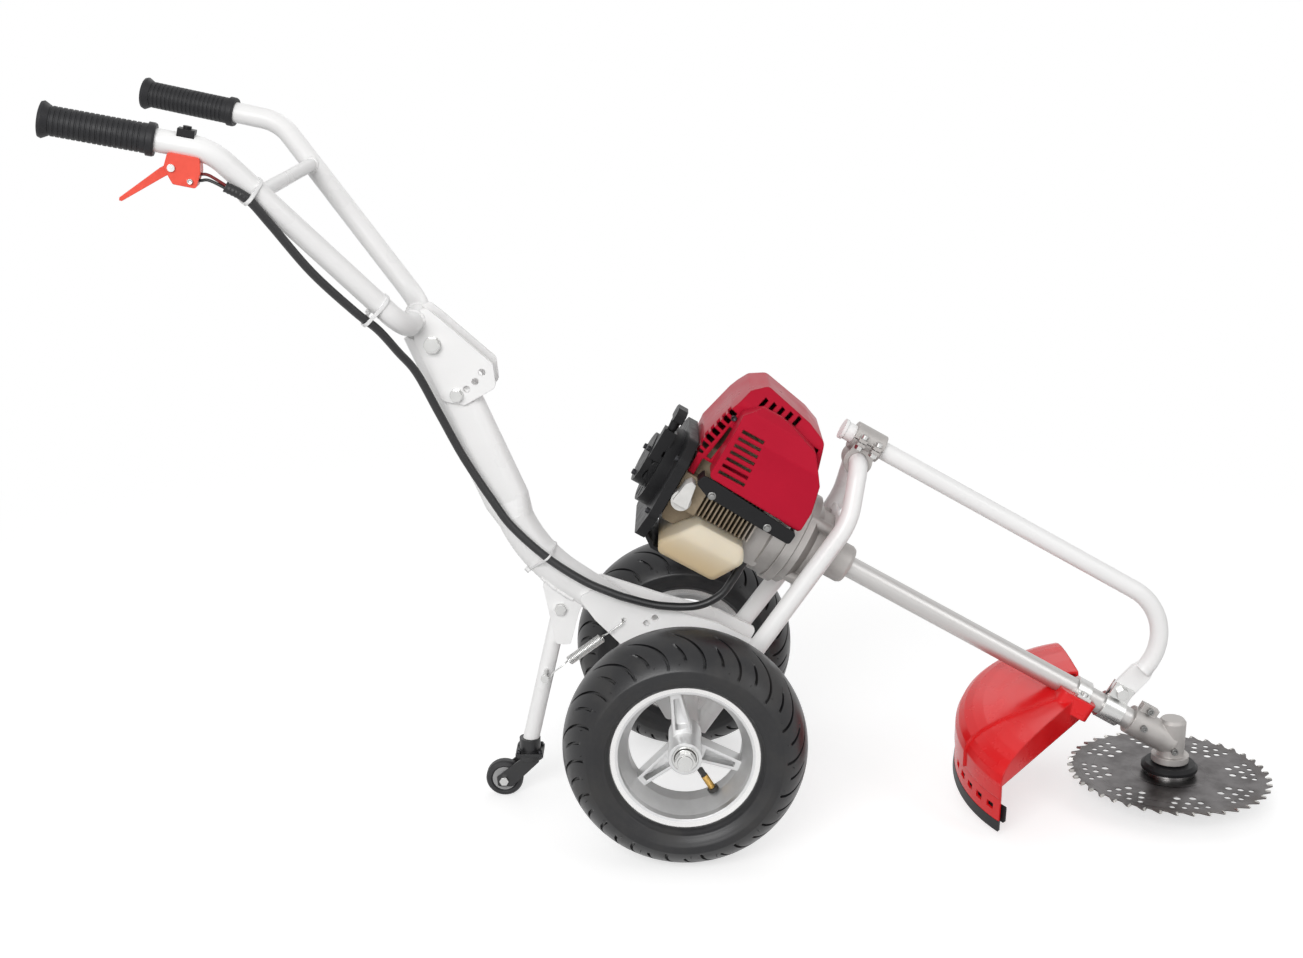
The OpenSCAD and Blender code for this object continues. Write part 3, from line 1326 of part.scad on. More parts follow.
module blade() {
    step = 360 / blade_teeth;
    root = blade_d / 2 - tooth_depth;
    rim_points = [for (i = [0:blade_teeth - 1]) each [
        root * [cos(i * step), sin(i * step)],
        (root + 1) * [cos((i + 0.35) * step), sin((i + 0.35) * step)],
        blade_d / 2 * [cos((i + 0.82) * step), sin((i + 0.82) * step)],
        (blade_d / 2 - 0.5) * [cos((i + 0.97) * step), sin((i + 0.97) * step)]]];
    color("gray") on_axle() translate([gear_at.x, 0, blade_z]) linear_extrude(blade_t) difference() {
        polygon(rim_points);
        circle(d = blade_bore);
        for (i = [0:7]) rotate(i * 45) {
            for (j = [-1.5:1.5]) rotate(j * 8) translate([root - 13, 0]) circle(d = 7);
            for (j = [-1:1]) rotate(j * 10) translate([root - 25, 0]) circle(d = 8);
            for (j = [-0.5:0.5]) rotate(j * 14) translate([root - 38, 0]) circle(d = 9);
        }
    }
}

// Guard frame: origin on the drive tube's saddle, Z up through the fan
module on_guard() on_axle() translate(guard_at) rotate([guard_roll, guard_pitch, 0]) children();

// Profile turned about the fan's own centre and cut to the sector that is seen from the saddle
module fan(profile, far = guard_far, near = guard_near) intersection() {
    translate(guard_shift) rotate_extrude($fn = 96) polygon(profile);
    translate([0, 0, -150]) linear_extrude(250)
        polygon([[0, 0], for (i = [0:4]) 400 * [cos(180 - far + i * (far + near) / 4),
            sin(180 - far + i * (far + near) / 4)]]);
}

// Half profile of the fan, pushed out by a distance: a crown that rounds over into the wall
crown_steps = 9;
function crown(out) = [for (i = [0:crown_steps]) let (turn = 90 * i / crown_steps)
    [(guard_r + 3 + out) * sqrt(sin(turn)),
     (guard_rise + 6 + guard_wall_h + out) * sqrt(max(cos(turn), 0)) - guard_wall_h]];
function crown_shell(out, in) = concat(crown(out), [for (i = [crown_steps:-1:0]) crown(in)[i]]);

module guard_shell() {
    rib_h = 16;
    saddle = rounded([[saddle_rear, -saddle_w], [saddle_front, -saddle_w], [saddle_front, saddle_w],
        [saddle_rear, saddle_w]], 9);
    color(red) difference() {
        union() {
            on_guard() fan(crown_shell(0, -guard_t));
            // Raised middle panel
            on_guard() fan(crown_shell(panel_h, -guard_t / 2), panel_far, panel_near);
            // Ribs under both edges
            on_guard() intersection() {
                fan(concat(crown(0), [[0, -guard_wall_h]]));
                for (turn = [180 - guard_far, 180 + guard_near])
                    rotate(turn) translate([2 * guard_t, -guard_t, -rib_h])
                        cube([guard_r + 20, 2 * guard_t, 100]);
            }
            on_drive() translate([0, 0, -24]) linear_extrude(24 + saddle_top) polygon(saddle);
        }
        on_drive() along_drive(saddle_rear - 88, tube_front, tube_d + 2 * seat);
        on_drive() translate([saddle_rear - 60, -tube_d / 2 - seat, 0]) cube([200, tube_d + 2 * seat, 90]);
        on_drive() translate([saddle_rear + 6, -saddle_w - 4, saddle_top]) cube([200, 2 * saddle_w + 8,
            90]);
    }
}

module guard_skirt() {
    top = -guard_wall_h - seat;
    low = top - skirt_h;
    r = guard_r + 3;
    slot_w = 11;
    color(red) on_guard() difference() {
        fan([[r, top], [r + 3, low], [r + 3 - guard_t, low], [r - guard_t, top]]);
        for (i = [0:4]) translate(guard_shift) rotate(180 + 31 - i * 7)
            translate([r - 10, -slot_w / 2, top - 18]) cube([20, slot_w, 8]);
    }
    color(black) on_guard() fan([[r + 3.4, low - seat], [r + 5, low - edge_h], [r + 1, low - edge_h],
        [r - 0.4, low - seat]]);
}

// Strap over the tube, screwed down on the saddle
module guard_bracket() {
    from = saddle_rear + 20;
    to = saddle_front - 10;
    lug = saddle_w - 3;
    color(steel) on_drive() {
        difference() {
            union() {
                along_drive(from, to, tube_d + 8);
                translate([from, -lug, saddle_top + seat]) cube([to - from, 2 * lug, 4]);
            }
            along_drive(from - 1, to + 1, tube_d + 2 * seat);
            translate([from - 1, -60, saddle_top + seat - 60]) cube([to - from + 2, 120, 60]);
        }
        for (s = [-1, 1]) translate([(from + to) / 2, s * (lug - 5), saddle_top + seat + 4])
            cylinder(h = 4, d = 8);
    }
}

main_column();
base_plates();
axle_tube();
axle();
axle_nuts();
engine_hoop();
mount_plate();
tyre_right();
rim_right();
bearings_right();
valve_right();
tyre_left();
rim_left();
bearings_left();
valve_left();
handle_tube();
handle_brace();
adjuster_plates();
pivot_bolt();
lock_screws();
grips();
throttle_housing();
throttle_lever();
throttle_pin();
throttle_clamp();
throttle_cable();
cable_ties();
stand_bracket();
stand_bolt();
stand_leg();
stand_spring();
caster_fork();
caster_axle();
caster_wheel();
cross_clamp();
clamp_bolts();
support_bar();
bar_plug();
bar_foot_clamp();
engine_block();
top_cover();
muffler_cover();
lower_shroud();
air_cleaner();
starter_housing();
starter_grip();
oil_filler();
fuel_tank();
fuel_cap();
clutch_housing();
clutch_rotor();
drive_tube();
drive_shaft();
gear_case();
spindle();
dust_collar();
blade();
guard_shell();
guard_skirt();
guard_bracket();
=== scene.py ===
"""Wheeled brush cutter: finishes and small pieces built round its CAD frame."""
import math

import bpy
import numpy as np
from bpy.props import FloatProperty, FloatVectorProperty, IntProperty, PointerProperty
from mathutils import Matrix, Vector


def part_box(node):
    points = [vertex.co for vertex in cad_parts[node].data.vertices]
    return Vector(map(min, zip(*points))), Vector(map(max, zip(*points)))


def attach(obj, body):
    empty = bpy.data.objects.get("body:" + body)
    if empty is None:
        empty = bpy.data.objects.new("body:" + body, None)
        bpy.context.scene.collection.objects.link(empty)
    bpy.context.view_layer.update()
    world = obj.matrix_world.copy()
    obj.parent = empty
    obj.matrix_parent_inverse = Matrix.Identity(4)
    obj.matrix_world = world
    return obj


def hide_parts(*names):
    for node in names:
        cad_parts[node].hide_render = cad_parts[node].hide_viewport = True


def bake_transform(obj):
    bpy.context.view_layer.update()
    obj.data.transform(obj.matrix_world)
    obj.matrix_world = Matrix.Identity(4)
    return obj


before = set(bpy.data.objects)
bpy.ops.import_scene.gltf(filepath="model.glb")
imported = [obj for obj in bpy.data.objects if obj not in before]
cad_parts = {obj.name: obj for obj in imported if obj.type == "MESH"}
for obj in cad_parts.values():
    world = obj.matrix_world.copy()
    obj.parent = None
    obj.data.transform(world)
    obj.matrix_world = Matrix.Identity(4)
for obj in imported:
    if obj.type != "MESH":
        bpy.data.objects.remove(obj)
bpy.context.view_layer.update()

bl_info = {
    "name": "Wheeled Brush Cutter",
    "version": (1, 0, 0),
    "blender": (4, 5, 0),
    "location": "3D View > Sidebar > Brush Cutter",
    "description": "Finishes, tyres, welds, cable, spring and fasteners round the brush cutter's CAD frame",
    "category": "Object",
}

# Places in metres, or in millimetres where they go through at, on_drive or on_throttle

AXLE_X = sum(corner.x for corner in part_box("axle")) / 2
DRIVE_ANGLE = math.radians(29.2)
DRIVE_DIR = Vector((math.cos(DRIVE_ANGLE), 0, -math.sin(DRIVE_ANGLE)))
DRIVE_UP = Vector((math.sin(DRIVE_ANGLE), 0, math.cos(DRIVE_ANGLE)))
ACROSS = Vector((0, 1, 0))


def at(x, y, z):
    """A place given in millimetres forward, left and up from the ground below the axle."""
    return Vector((x / 1000 + AXLE_X, y / 1000, z / 1000))


DRIVE_AT = at(207, 0, 294.6)


def on_drive(a, y, w):
    """A place in millimetres along the drive tube, across the machine and up from the crank."""
    return DRIVE_AT + DRIVE_DIR * (a / 1000) + ACROSS * (y / 1000) + DRIVE_UP * (w / 1000)


GEAR_AT = on_drive(451, 0, 0)
GUARD_AT = on_drive(333.65, 0, -6.67)
GUARD_ROLL = math.radians(12.6)
GUARD_PITCH = math.radians(-4.8)
AXLE_HEIGHT = 140
AXLE_AT = at(0, 0, AXLE_HEIGHT)
WHEEL_AT = {"right": at(0, -168, AXLE_HEIGHT), "left": at(0, 168, AXLE_HEIGHT)}
PIVOT = at(-293.405, 0, 574.642)
CROSS_AT = PIVOT + Vector((-0.022, 0, 0.027))
HANDLE_LOW = at(-315.405, -70, 601.642)
HANDLE_HIGH = at(-498, -176, 812)
HANDLE_END = at(-665, -195, 845)
GRIP_DIR = (HANDLE_HIGH - HANDLE_END).normalized()
THROTTLE_AT = HANDLE_END + GRIP_DIR * 0.130
THROTTLE_DROOP = math.radians(12)
HOOP_FOOT = at(30, -74, 143)
HOOP_SHOULDER = at(190, -58, 372)
HOOP_RADIUS = 0.011
AXLE_TUBE_RADIUS = 0.016
TOE_LENGTH = 0.025
COLUMN = (at(-309, 0, 600), at(-182, 0, 313), at(-40, 0, 218))
COLUMN_BEND = 0.180
CASTER_AT = at(-222.891, 0, 23)
PLATE_SIDE = 27.6
PLATE_WELD_RADIUS = 0.0166
COLUMN_WELD_DROP = 0.0170
COLUMN_WELD_SIDE = 0.0150
COLUMN_WELD_REAR = at(-172, 0, 0).x
COLUMN_WELD_FRONT = at(-122, 0, 0).x
BRACE_SHARE = 0.77
BRACE_WELD_RADIUS = 0.0081
ARM_WELD_RADIUS = 0.0128
CROSS_WELD_SIDE = 0.0229
CROSS_WELD_RADIUS = 0.0131
SPRING_ENDS = (at(-168.467, -34.1, 168.055), at(-73, -34.1, 240))
CABLE_ROUTE = [at(*p) for p in (
    (-514, -178, 783.5), (-503, -177, 783), (-485, -176, 774), (-463, -171, 760), (-443, -157, 731),
    (-407, -134, 677), (-366, -106, 628), (-345, -88, 605), (-326, -70, 576), (-308, -54, 548),
    (-285, -40, 496), (-259, -33, 442), (-226, -31, 388), (-204, -31, 357), (-164, -32, 320),
    (-122, -35, 293), (-90, -37, 279), (-66, -38, 271), (-30, -39, 263), (13, -40, 263),
    (41, -39.5, 276), (56, -38.5, 295.5), (64.3, -38, 309.9), (69.2, -38, 318.6))]


def on_throttle(x, y, z):
    """A place in millimetres in the throttle's own frame: forward along the handle, left, up."""
    heading = Matrix.Rotation(math.atan2(GRIP_DIR.y, GRIP_DIR.x), 4, "Z")
    droop = Matrix.Rotation(THROTTLE_DROOP, 4, "Y")
    return THROTTLE_AT + heading @ droop @ Vector((x / 1000, y / 1000, z / 1000))


def smooth_path(points, per):
    """A curve through the points, with `per` steps from each one to the next."""
    found = []
    last = len(points) - 1
    for i in range(last):
        a, b, c, d = points[max(i - 1, 0)], points[i], points[i + 1], points[min(i + 2, last)]
        for j in range(per):
            f = j / per
            found.append(0.5 * (2 * b + (c - a) * f + (2 * a - 5 * b + 4 * c - d) * f ** 2
                                + (3 * b - a - 3 * c + d) * f ** 3))
    return found + [points[last]]


def rounded_line(a, corner, b, radius, steps=12):
    """Straight from a, round the corner and on to b."""
    u, v = (corner - a).normalized(), (b - corner).normalized()
    turn = u.angle(v)
    reach = radius * math.tan(turn / 2)
    side = (v - u * u.dot(v)).normalized()
    centre = corner - u * reach + side * radius
    arc = [centre + radius * (u * math.sin(turn * i / steps) - side * math.cos(turn * i / steps))
           for i in range(steps + 1)]
    return [a] + arc + [b]


def frame_of(direction):
    """Two directions square to this one and to each other."""
    d = direction.normalized()
    side = d.cross(Vector((0, 0, 1)) if abs(d.z) < 0.9 else Vector((1, 0, 0))).normalized()
    return side, d.cross(side)


def ring_round(centre, direction, radius, count=40):
    """A closed round path about a line."""
    e, f = frame_of(direction)
    return [centre + radius * (e * math.cos(t) + f * math.sin(t))
            for t in (2 * math.pi * i / count for i in range(count + 1))]


def joint_ring(start, direction, radius, other, other_direction, other_radius, count=40):
    """The closed path where a round bar meets the near side of another, which lies against its direction."""
    u, n = direction.normalized(), other_direction.normalized()
    e, f = frame_of(u)
    q = u - n * u.dot(n)
    path = []
    for i in range(count + 1):
        t = 2 * math.pi * i / count
        skin = start + radius * (e * math.cos(t) + f * math.sin(t))
        p = skin - other
        p = p - n * p.dot(n)
        root = p.dot(q) ** 2 - q.length_squared * (p.length_squared - other_radius ** 2)
        path.append(skin + u * ((math.sqrt(max(root, 0)) - p.dot(q)) / q.length_squared))
    return path


def hoop_toe(side):
    """Both ends of the last stretch of a leg of the hoop, from its foot to below the axle tube's front."""
    flip = Vector((1, -side, 1))
    foot = HOOP_FOOT * flip
    return foot, foot + (foot - HOOP_SHOULDER * flip).normalized() * TOE_LENGTH


def saddle_seam(start, end, radius, other, other_radius, count=24):
    """The open path over which a bar from start to end lies on the front of a tube across the machine."""
    flat = Vector((1, 0, 1))
    u = (end - start).normalized()
    q = u * flat
    inward = other - start
    inward = (inward - u * inward.dot(u)) * flat
    e = (inward - u * inward.dot(u)).normalized()
    f = u.cross(e)
    path = []
    for i in range(count + 1):
        t = math.pi * (i / count - 0.5)
        skin = start + radius * (e * math.cos(t) + f * math.sin(t))
        p = (skin - other) * flat
        root = p.dot(q) ** 2 - q.length_squared * (p.length_squared - other_radius ** 2)
        if root > 0:
            path.append(skin - u * ((p.dot(q) + math.sqrt(root)) / q.length_squared))
    return path


# Limits and relief of the finishes, in metres

LEG_BLACK_HEIGHT = (0.0766, 0.0762)
LEG_STUD_SIDE = (-0.0112, -0.0116)
LEG_STUD_HEIGHT = (0.100, 0.101)
DARK_BROWN_ALONG = (-0.134, -0.162)
FLANGE_RADIUS = (0.0785, 0.0800)
SEAL_RADIUS = (0.0102, 0.0131)
BRASS_RADIUS = (0.0415, 0.0588)
TYRE_WALL_RADIUS = (0.112, 0.104)
CASTER_HUB_RADIUS = (0.0152, 0.0148)
BLADE_STAIN_RADIUS = (0.100, 0.121)
FUEL_HEIGHT = (-0.030, -0.066)
TANK_SEAM_SIDE = (-0.0565, -0.0545)
SKIRT_STRIP_HEIGHT = (-0.0631, -0.0634)
COAT_RELIEF = 0.000035
CAST_RELIEF = 0.00006

# Which parts of a vector count for the distance from an axis along Y or Z

ROUND_Y = (1, 0, 1)
ROUND_Z = (1, 1, 0)


# Camera, lamps and floor

CAMERA_AT = (-0.04063, -2.11917, 1.00090)
CAMERA_TILT = math.radians(74.38)
CAMERA_TURN = math.radians(0.73)
CAMERA_LENS = 51.113
SENSOR_WIDTH = 36.0
CAMERA_REACH = 60.0
LAMP_AIM = Vector((0.0, 0.0, 0.35))
FLOOR_HALF = 14.0
FLOOR_GREY = (0.58, 0.58, 0.58, 1)
FLOOR_FADE = (0.9, 1.9)


# Sizes and colours


class CutterColours(bpy.types.PropertyGroup):
    """Colours of the paints, plastics and metals, as linear light."""

    frame_white: FloatVectorProperty(
        name="Frame white", description="Powder coat on the tubes and plates", subtype="COLOR",
        min=0, max=1, default=(0.91, 0.905, 0.90))
    cover_red: FloatVectorProperty(
        name="Cover red", description="Engine covers", subtype="COLOR",
        min=0, max=1, default=(0.47, 0.010, 0.032))
    guard_red: FloatVectorProperty(
        name="Guard red", description="Blade guard", subtype="COLOR",
        min=0, max=1, default=(0.74, 0.011, 0.014))
    lever_orange: FloatVectorProperty(
        name="Lever orange", description="Throttle housing and lever", subtype="COLOR",
        min=0, max=1, default=(0.86, 0.095, 0.060))
    tank_cream: FloatVectorProperty(
        name="Tank cream", description="Fuel tank", subtype="COLOR",
        min=0, max=1, default=(0.74, 0.66, 0.52))
    pale_grey: FloatVectorProperty(
        name="Pale grey", description="Oil filler", subtype="COLOR",
        min=0, max=1, default=(0.70, 0.69, 0.67))
    black: FloatVectorProperty(
        name="Black", description="Black plastics", subtype="COLOR",
        min=0, max=1, default=(0.012, 0.012, 0.013))
    rubber: FloatVectorProperty(
        name="Rubber", description="Tyres and grips", subtype="COLOR",
        min=0, max=1, default=(0.013, 0.013, 0.0145))
    cast_grey: FloatVectorProperty(
        name="Cast grey", description="Clutch housing, gear case and clamp", subtype="COLOR",
        min=0, max=1, default=(0.46, 0.44, 0.425))
    steel: FloatVectorProperty(
        name="Steel", description="Plated bolts and straps", subtype="COLOR",
        min=0, max=1, default=(0.62, 0.62, 0.61))


class CutterTyre(bpy.types.PropertyGroup):
    """Sizes of the tyres' tread and side walls."""

    outer_radius: FloatProperty(
        name="Outer radius", description="Wheel centre to crown", unit="LENGTH", default=0.140)
    crown_radius: FloatProperty(
        name="Crown radius", description="Radius of the rounded crown", unit="LENGTH", default=0.060)
    half_width: FloatProperty(
        name="Half width", description="Middle plane to the widest place", unit="LENGTH", default=0.052)
    grooves: IntProperty(
        name="Grooves", description="Long grooves on each shoulder", min=8, max=30, default=18)
    groove_width: FloatProperty(
        name="Groove width", description="Width of a groove", unit="LENGTH", default=0.0036)
    groove_depth: FloatProperty(
        name="Groove depth", description="Depth of a groove", unit="LENGTH", default=0.0034)
    sweep: FloatProperty(
        name="Sweep", description="How far a groove runs forward on its way out", unit="LENGTH",
        default=0.050)


class CutterCable(bpy.types.PropertyGroup):
    """Sizes of the throttle cable's sleeve, its leads and the starter rope."""

    sleeve: FloatProperty(
        name="Sleeve", description="Diameter of the cable sleeve", unit="LENGTH", default=0.0098)
    lead: FloatProperty(
        name="Lead", description="Diameter of a lead at the throttle", unit="LENGTH", default=0.0034)
    rope: FloatProperty(
        name="Rope", description="Diameter of the starter rope", unit="LENGTH", default=0.0044)


class CutterSpring(bpy.types.PropertyGroup):
    """Sizes of the stand's tension spring."""

    wire: FloatProperty(
        name="Wire", description="Diameter of the wire", unit="LENGTH", default=0.0018)
    coil: FloatProperty(
        name="Coil", description="Middle diameter of the curls", unit="LENGTH", default=0.010)
    curls: IntProperty(
        name="Curls", description="Number of curls", min=4, max=40, default=25)
    pitch: FloatProperty(
        name="Pitch", description="Length of one curl", unit="LENGTH", default=0.00195)


class CutterFixings(bpy.types.PropertyGroup):
    """Sizes of the weld beads and of the screws."""

    bead: FloatProperty(
        name="Bead", description="Width of a weld bead", unit="LENGTH", default=0.0050)
    ripple: FloatProperty(
        name="Ripple", description="Distance between a weld's ripples", unit="LENGTH", default=0.0019)
    hex_flats: FloatProperty(
        name="Hexagon", description="Width across a hexagon head", unit="LENGTH", default=0.0066)
    cap_width: FloatProperty(
        name="Cap screw", description="Diameter of a cap screw's head", unit="LENGTH", default=0.0085)


class CutterStage(bpy.types.PropertyGroup):
    """Light and floor."""

    key_power: FloatProperty(
        name="Key", description="Power of the large key lamp", unit="POWER", default=76)
    fill_power: FloatProperty(
        name="Fill", description="Power of the fill lamp", unit="POWER", default=12)
    back_power: FloatProperty(
        name="Back", description="Power of the lamp behind", unit="POWER", default=10)
    world_light: FloatProperty(
        name="Sky", description="Strength of the even light", min=0, max=2, default=0.50)
    floor_glow: FloatProperty(
        name="Floor", description="Light that the floor adds for the eye", min=0, max=1, default=0.60)


SETTINGS = {
    "cutter_colours": CutterColours, "cutter_tyre": CutterTyre, "cutter_cable": CutterCable,
    "cutter_spring": CutterSpring, "cutter_fixings": CutterFixings, "cutter_stage": CutterStage,
}


# Node trees


def put(tree, socket, value):
    """Links a socket to a socket, or sets a plain value on it."""
    if isinstance(value, bpy.types.NodeSocket):
        tree.links.new(value, socket)
    else:
        socket.default_value = value


def add(tree, kind, inputs=None, **settings):
    """A new node with its settings and inputs."""
    node = tree.nodes.new(kind)
    for key, value in settings.items():
        setattr(node, key, value)
    for key, value in (inputs or {}).items():
        put(tree, node.inputs[key], value)
    return node


def reckon(tree, operation, a, b=0.0):
    """One step of arithmetic on values."""
    return add(tree, "ShaderNodeMath", {0: a, 1: b}, operation=operation).outputs[0]


def times(tree, a, b):
    """The product of two values."""
    return reckon(tree, "MULTIPLY", a, b)


def arrow(tree, operation, a, b=(0, 0, 0)):
    """One step of arithmetic on vectors; a length or a dot product comes out as a value."""
    node = add(tree, "ShaderNodeVectorMath", {0: a, 1: b}, operation=operation)
    return node.outputs["Value" if operation in ("LENGTH", "DOT_PRODUCT") else "Vector"]


def split(tree, vector):
    """The three parts of a vector."""
    return add(tree, "ShaderNodeSeparateXYZ", {0: vector}).outputs


def joined(tree, x, y, z):
    """A vector of three parts."""
    return add(tree, "ShaderNodeCombineXYZ", {0: x, 1: y, 2: z}).outputs[0]


def mixed(tree, factor, a, b):
    """Value a turning into value b."""
    return add(tree, "ShaderNodeMix", {0: factor, 2: a, 3: b}, data_type="FLOAT").outputs[0]


def spread(tree, value, low, high, to_low=0.0, to_high=1.0, smooth=True):
    """Maps low..high to to_low..to_high, clamped."""
    return add(tree, "ShaderNodeMapRange", {0: value, 1: low, 2: high, 3: to_low, 4: to_high},
               interpolation_type="SMOOTHSTEP" if smooth else "LINEAR").outputs[0]


def tint(tree, factor, a, b):
    """Colour a turning into colour b."""
    pair = [(*c, 1) if isinstance(c, (tuple, list)) else c for c in (a, b)]
    return add(tree, "ShaderNodeMix", {0: factor, 6: pair[0], 7: pair[1]}, data_type="RGBA").outputs[2]


def noise(tree, vector, scale, detail=2.0, rough=0.5):
    """Soft noise from 0 to 1."""
    inputs = {"Vector": vector, "Scale": scale, "Detail": detail, "Roughness": rough}
    return add(tree, "ShaderNodeTexNoise", inputs).outputs[0]


def moved(tree, vector, location=(0, 0, 0), rotation=(0, 0, 0), scale=(1, 1, 1), kind="POINT"):
    """A vector shifted, turned and stretched."""
    inputs = {"Vector": vector, "Location": location, "Rotation": rotation, "Scale": scale}
    return add(tree, "ShaderNodeMapping", inputs, vector_type=kind).outputs[0]


VECTOR = ("Vector", "Vector", None)
GEOMETRY = ("Geometry", "Geometry", None)
MATERIAL = ("Material", "Material", None)


def new_tree(name, kind, inputs, outputs):
    """An empty node group with named sockets, its inputs and its output node."""
    tree = bpy.data.node_groups.new(name, kind)
    for label, socket_kind, value in inputs:
        socket = tree.interface.new_socket(label, in_out="INPUT", socket_type="NodeSocket" + socket_kind)
        if value is not None:
            socket.default_value = value
    for label, socket_kind in outputs:
        tree.interface.new_socket(label, in_out="OUTPUT", socket_type="NodeSocket" + socket_kind)
    return tree, tree.nodes.new("NodeGroupInput").outputs, tree.nodes.new("NodeGroupOutput")


def paint_peel_group():
    """Orange peel of sprayed paint, and broad clouds."""
    tree, given, out = new_tree("paint_peel", "ShaderNodeTree", [VECTOR, ("Scale", "Float", 600.0)],
                                [("Height", "Float"), ("Cloud", "Float")])
    where, scale = given["Vector"], given["Scale"]
    put(tree, out.inputs["Height"], noise(tree, where, scale, 1.5))
    put(tree, out.inputs["Cloud"], noise(tree, where, times(tree, scale, 0.02), 4.0))


def cast_skin_group():
    """Pitted grain of a casting, and patches of lighter and darker metal."""
    tree, given, out = new_tree("cast_skin", "ShaderNodeTree", [VECTOR, ("Scale", "Float", 1200.0)],
                                [("Height", "Float"), ("Shade", "Float")])
    where, scale = given["Vector"], given["Scale"]
    grain = noise(tree, where, scale, 4.0, 0.65)
    cells = add(tree, "ShaderNodeTexVoronoi", {"Vector": where, "Scale": times(tree, scale, 0.4)})
    pits = spread(tree, cells.outputs[0], 0.0, 0.35, 0.0, 0.5)
    put(tree, out.inputs["Height"], reckon(tree, "ADD", grain, pits))
    put(tree, out.inputs["Shade"], noise(tree, where, times(tree, scale, 0.05), 5.0, 0.6))


def brush_lines_group():
    """Fine parallel lines along X, as left by brushing, drawing or turning."""
    tree, given, out = new_tree("brush_lines", "ShaderNodeTree",
                                [VECTOR, ("Scale", "Float", 1500.0), ("Length", "Float", 0.02)],
                                [("Height", "Float"), ("Shade", "Float")])
    scale = given["Scale"]
    x, y, z = split(tree, given["Vector"])
    drawn = joined(tree, times(tree, x, given["Length"]), y, z)
    put(tree, out.inputs["Height"], noise(tree, drawn, scale, 3.0, 0.6))
    put(tree, out.inputs["Shade"], noise(tree, drawn, times(tree, scale, 0.12), 3.0, 0.6))


def scuffs_group():
    """Sparse thin scratches that come in patches."""
    tree, given, out = new_tree("scuffs", "ShaderNodeTree",
                                [VECTOR, ("Scale", "Float", 90.0), ("Amount", "Float", 0.5)],
                                [("Mask", "Float")])
    where, scale = given["Vector"], given["Scale"]
    masks = []
    for turn, stretch in (((0.3, 0.5, 0.2), (1, 14, 14)), ((1.1, 0.2, 0.9), (16, 1, 16))):
        scratches = noise(tree, moved(tree, where, rotation=turn, scale=stretch), scale, 1.0)
        masks.append(spread(tree, scratches, 0.66, 0.72))
    patch = spread(tree, noise(tree, where, times(tree, scale, 0.2), 2.0), 0.5, 0.7)
    marks = times(tree, reckon(tree, "MAXIMUM", *masks), patch)
    put(tree, out.inputs["Mask"], times(tree, marks, given["Amount"]))


def worn_edges_group():
    """Softened edges: a normal that rounds them, and a broken mask along them."""
    tree, given, out = new_tree("worn_edges", "ShaderNodeTree",
                                [VECTOR, ("Radius", "Float", 0.001), ("Amount", "Float", 1.0)],
                                [("Mask", "Float"), ("Normal", "Vector")])
    soft = add(tree, "ShaderNodeBevel", {"Radius": given["Radius"]}, samples=4).outputs[0]
    flat = add(tree, "ShaderNodeNewGeometry").outputs["Normal"]
    edge = spread(tree, arrow(tree, "DOT_PRODUCT", soft, flat), 0.97, 0.80)
    broken = spread(tree, noise(tree, given["Vector"], 260.0, 3.0, 0.6), 0.38, 0.62)
    put(tree, out.inputs["Mask"], times(tree, times(tree, edge, broken), given["Amount"]))
    put(tree, out.inputs["Normal"], soft)


def radius_about_group():
    """Distance from a line along X, Y or Z through a place, for patterns that go round a part."""
    tree, given, out = new_tree("radius_about", "ShaderNodeTree",
                                [VECTOR, ("Centre", "Vector", None), ("Keep", "Vector", None)],
                                [("Radius", "Float")])
    away = arrow(tree, "SUBTRACT", given["Vector"], given["Centre"])
    kept = arrow(tree, "MULTIPLY", away, given["Keep"])
    put(tree, out.inputs["Radius"], arrow(tree, "LENGTH", kept))


def effect(tree, name, **inputs):
    """Places one of the shared shader groups in a material."""
    return add(tree, "ShaderNodeGroup", inputs, node_tree=bpy.data.node_groups[name]).outputs


def even_curve(tree, geometry, step):
    """The mesh's runs of edges as curves, with points an even step apart."""
    curve = add(tree, "GeometryNodeMeshToCurve", {0: geometry}).outputs[0]
    return add(tree, "GeometryNodeResampleCurve", {0: curve, 3: step}, mode="LENGTH").outputs[0]


def chance(tree, low, high, seed):
    """A random value for each point."""
    inputs = {2: low, 3: high, "Seed": seed}
    return add(tree, "FunctionNodeRandomValue", inputs, data_type="FLOAT").outputs[1]


def aimed(tree, vector, axis):
    """A rotation that points an axis along a vector."""
    return add(tree, "FunctionNodeAlignRotationToVector", {"Vector": vector}, axis=axis).outputs[0]


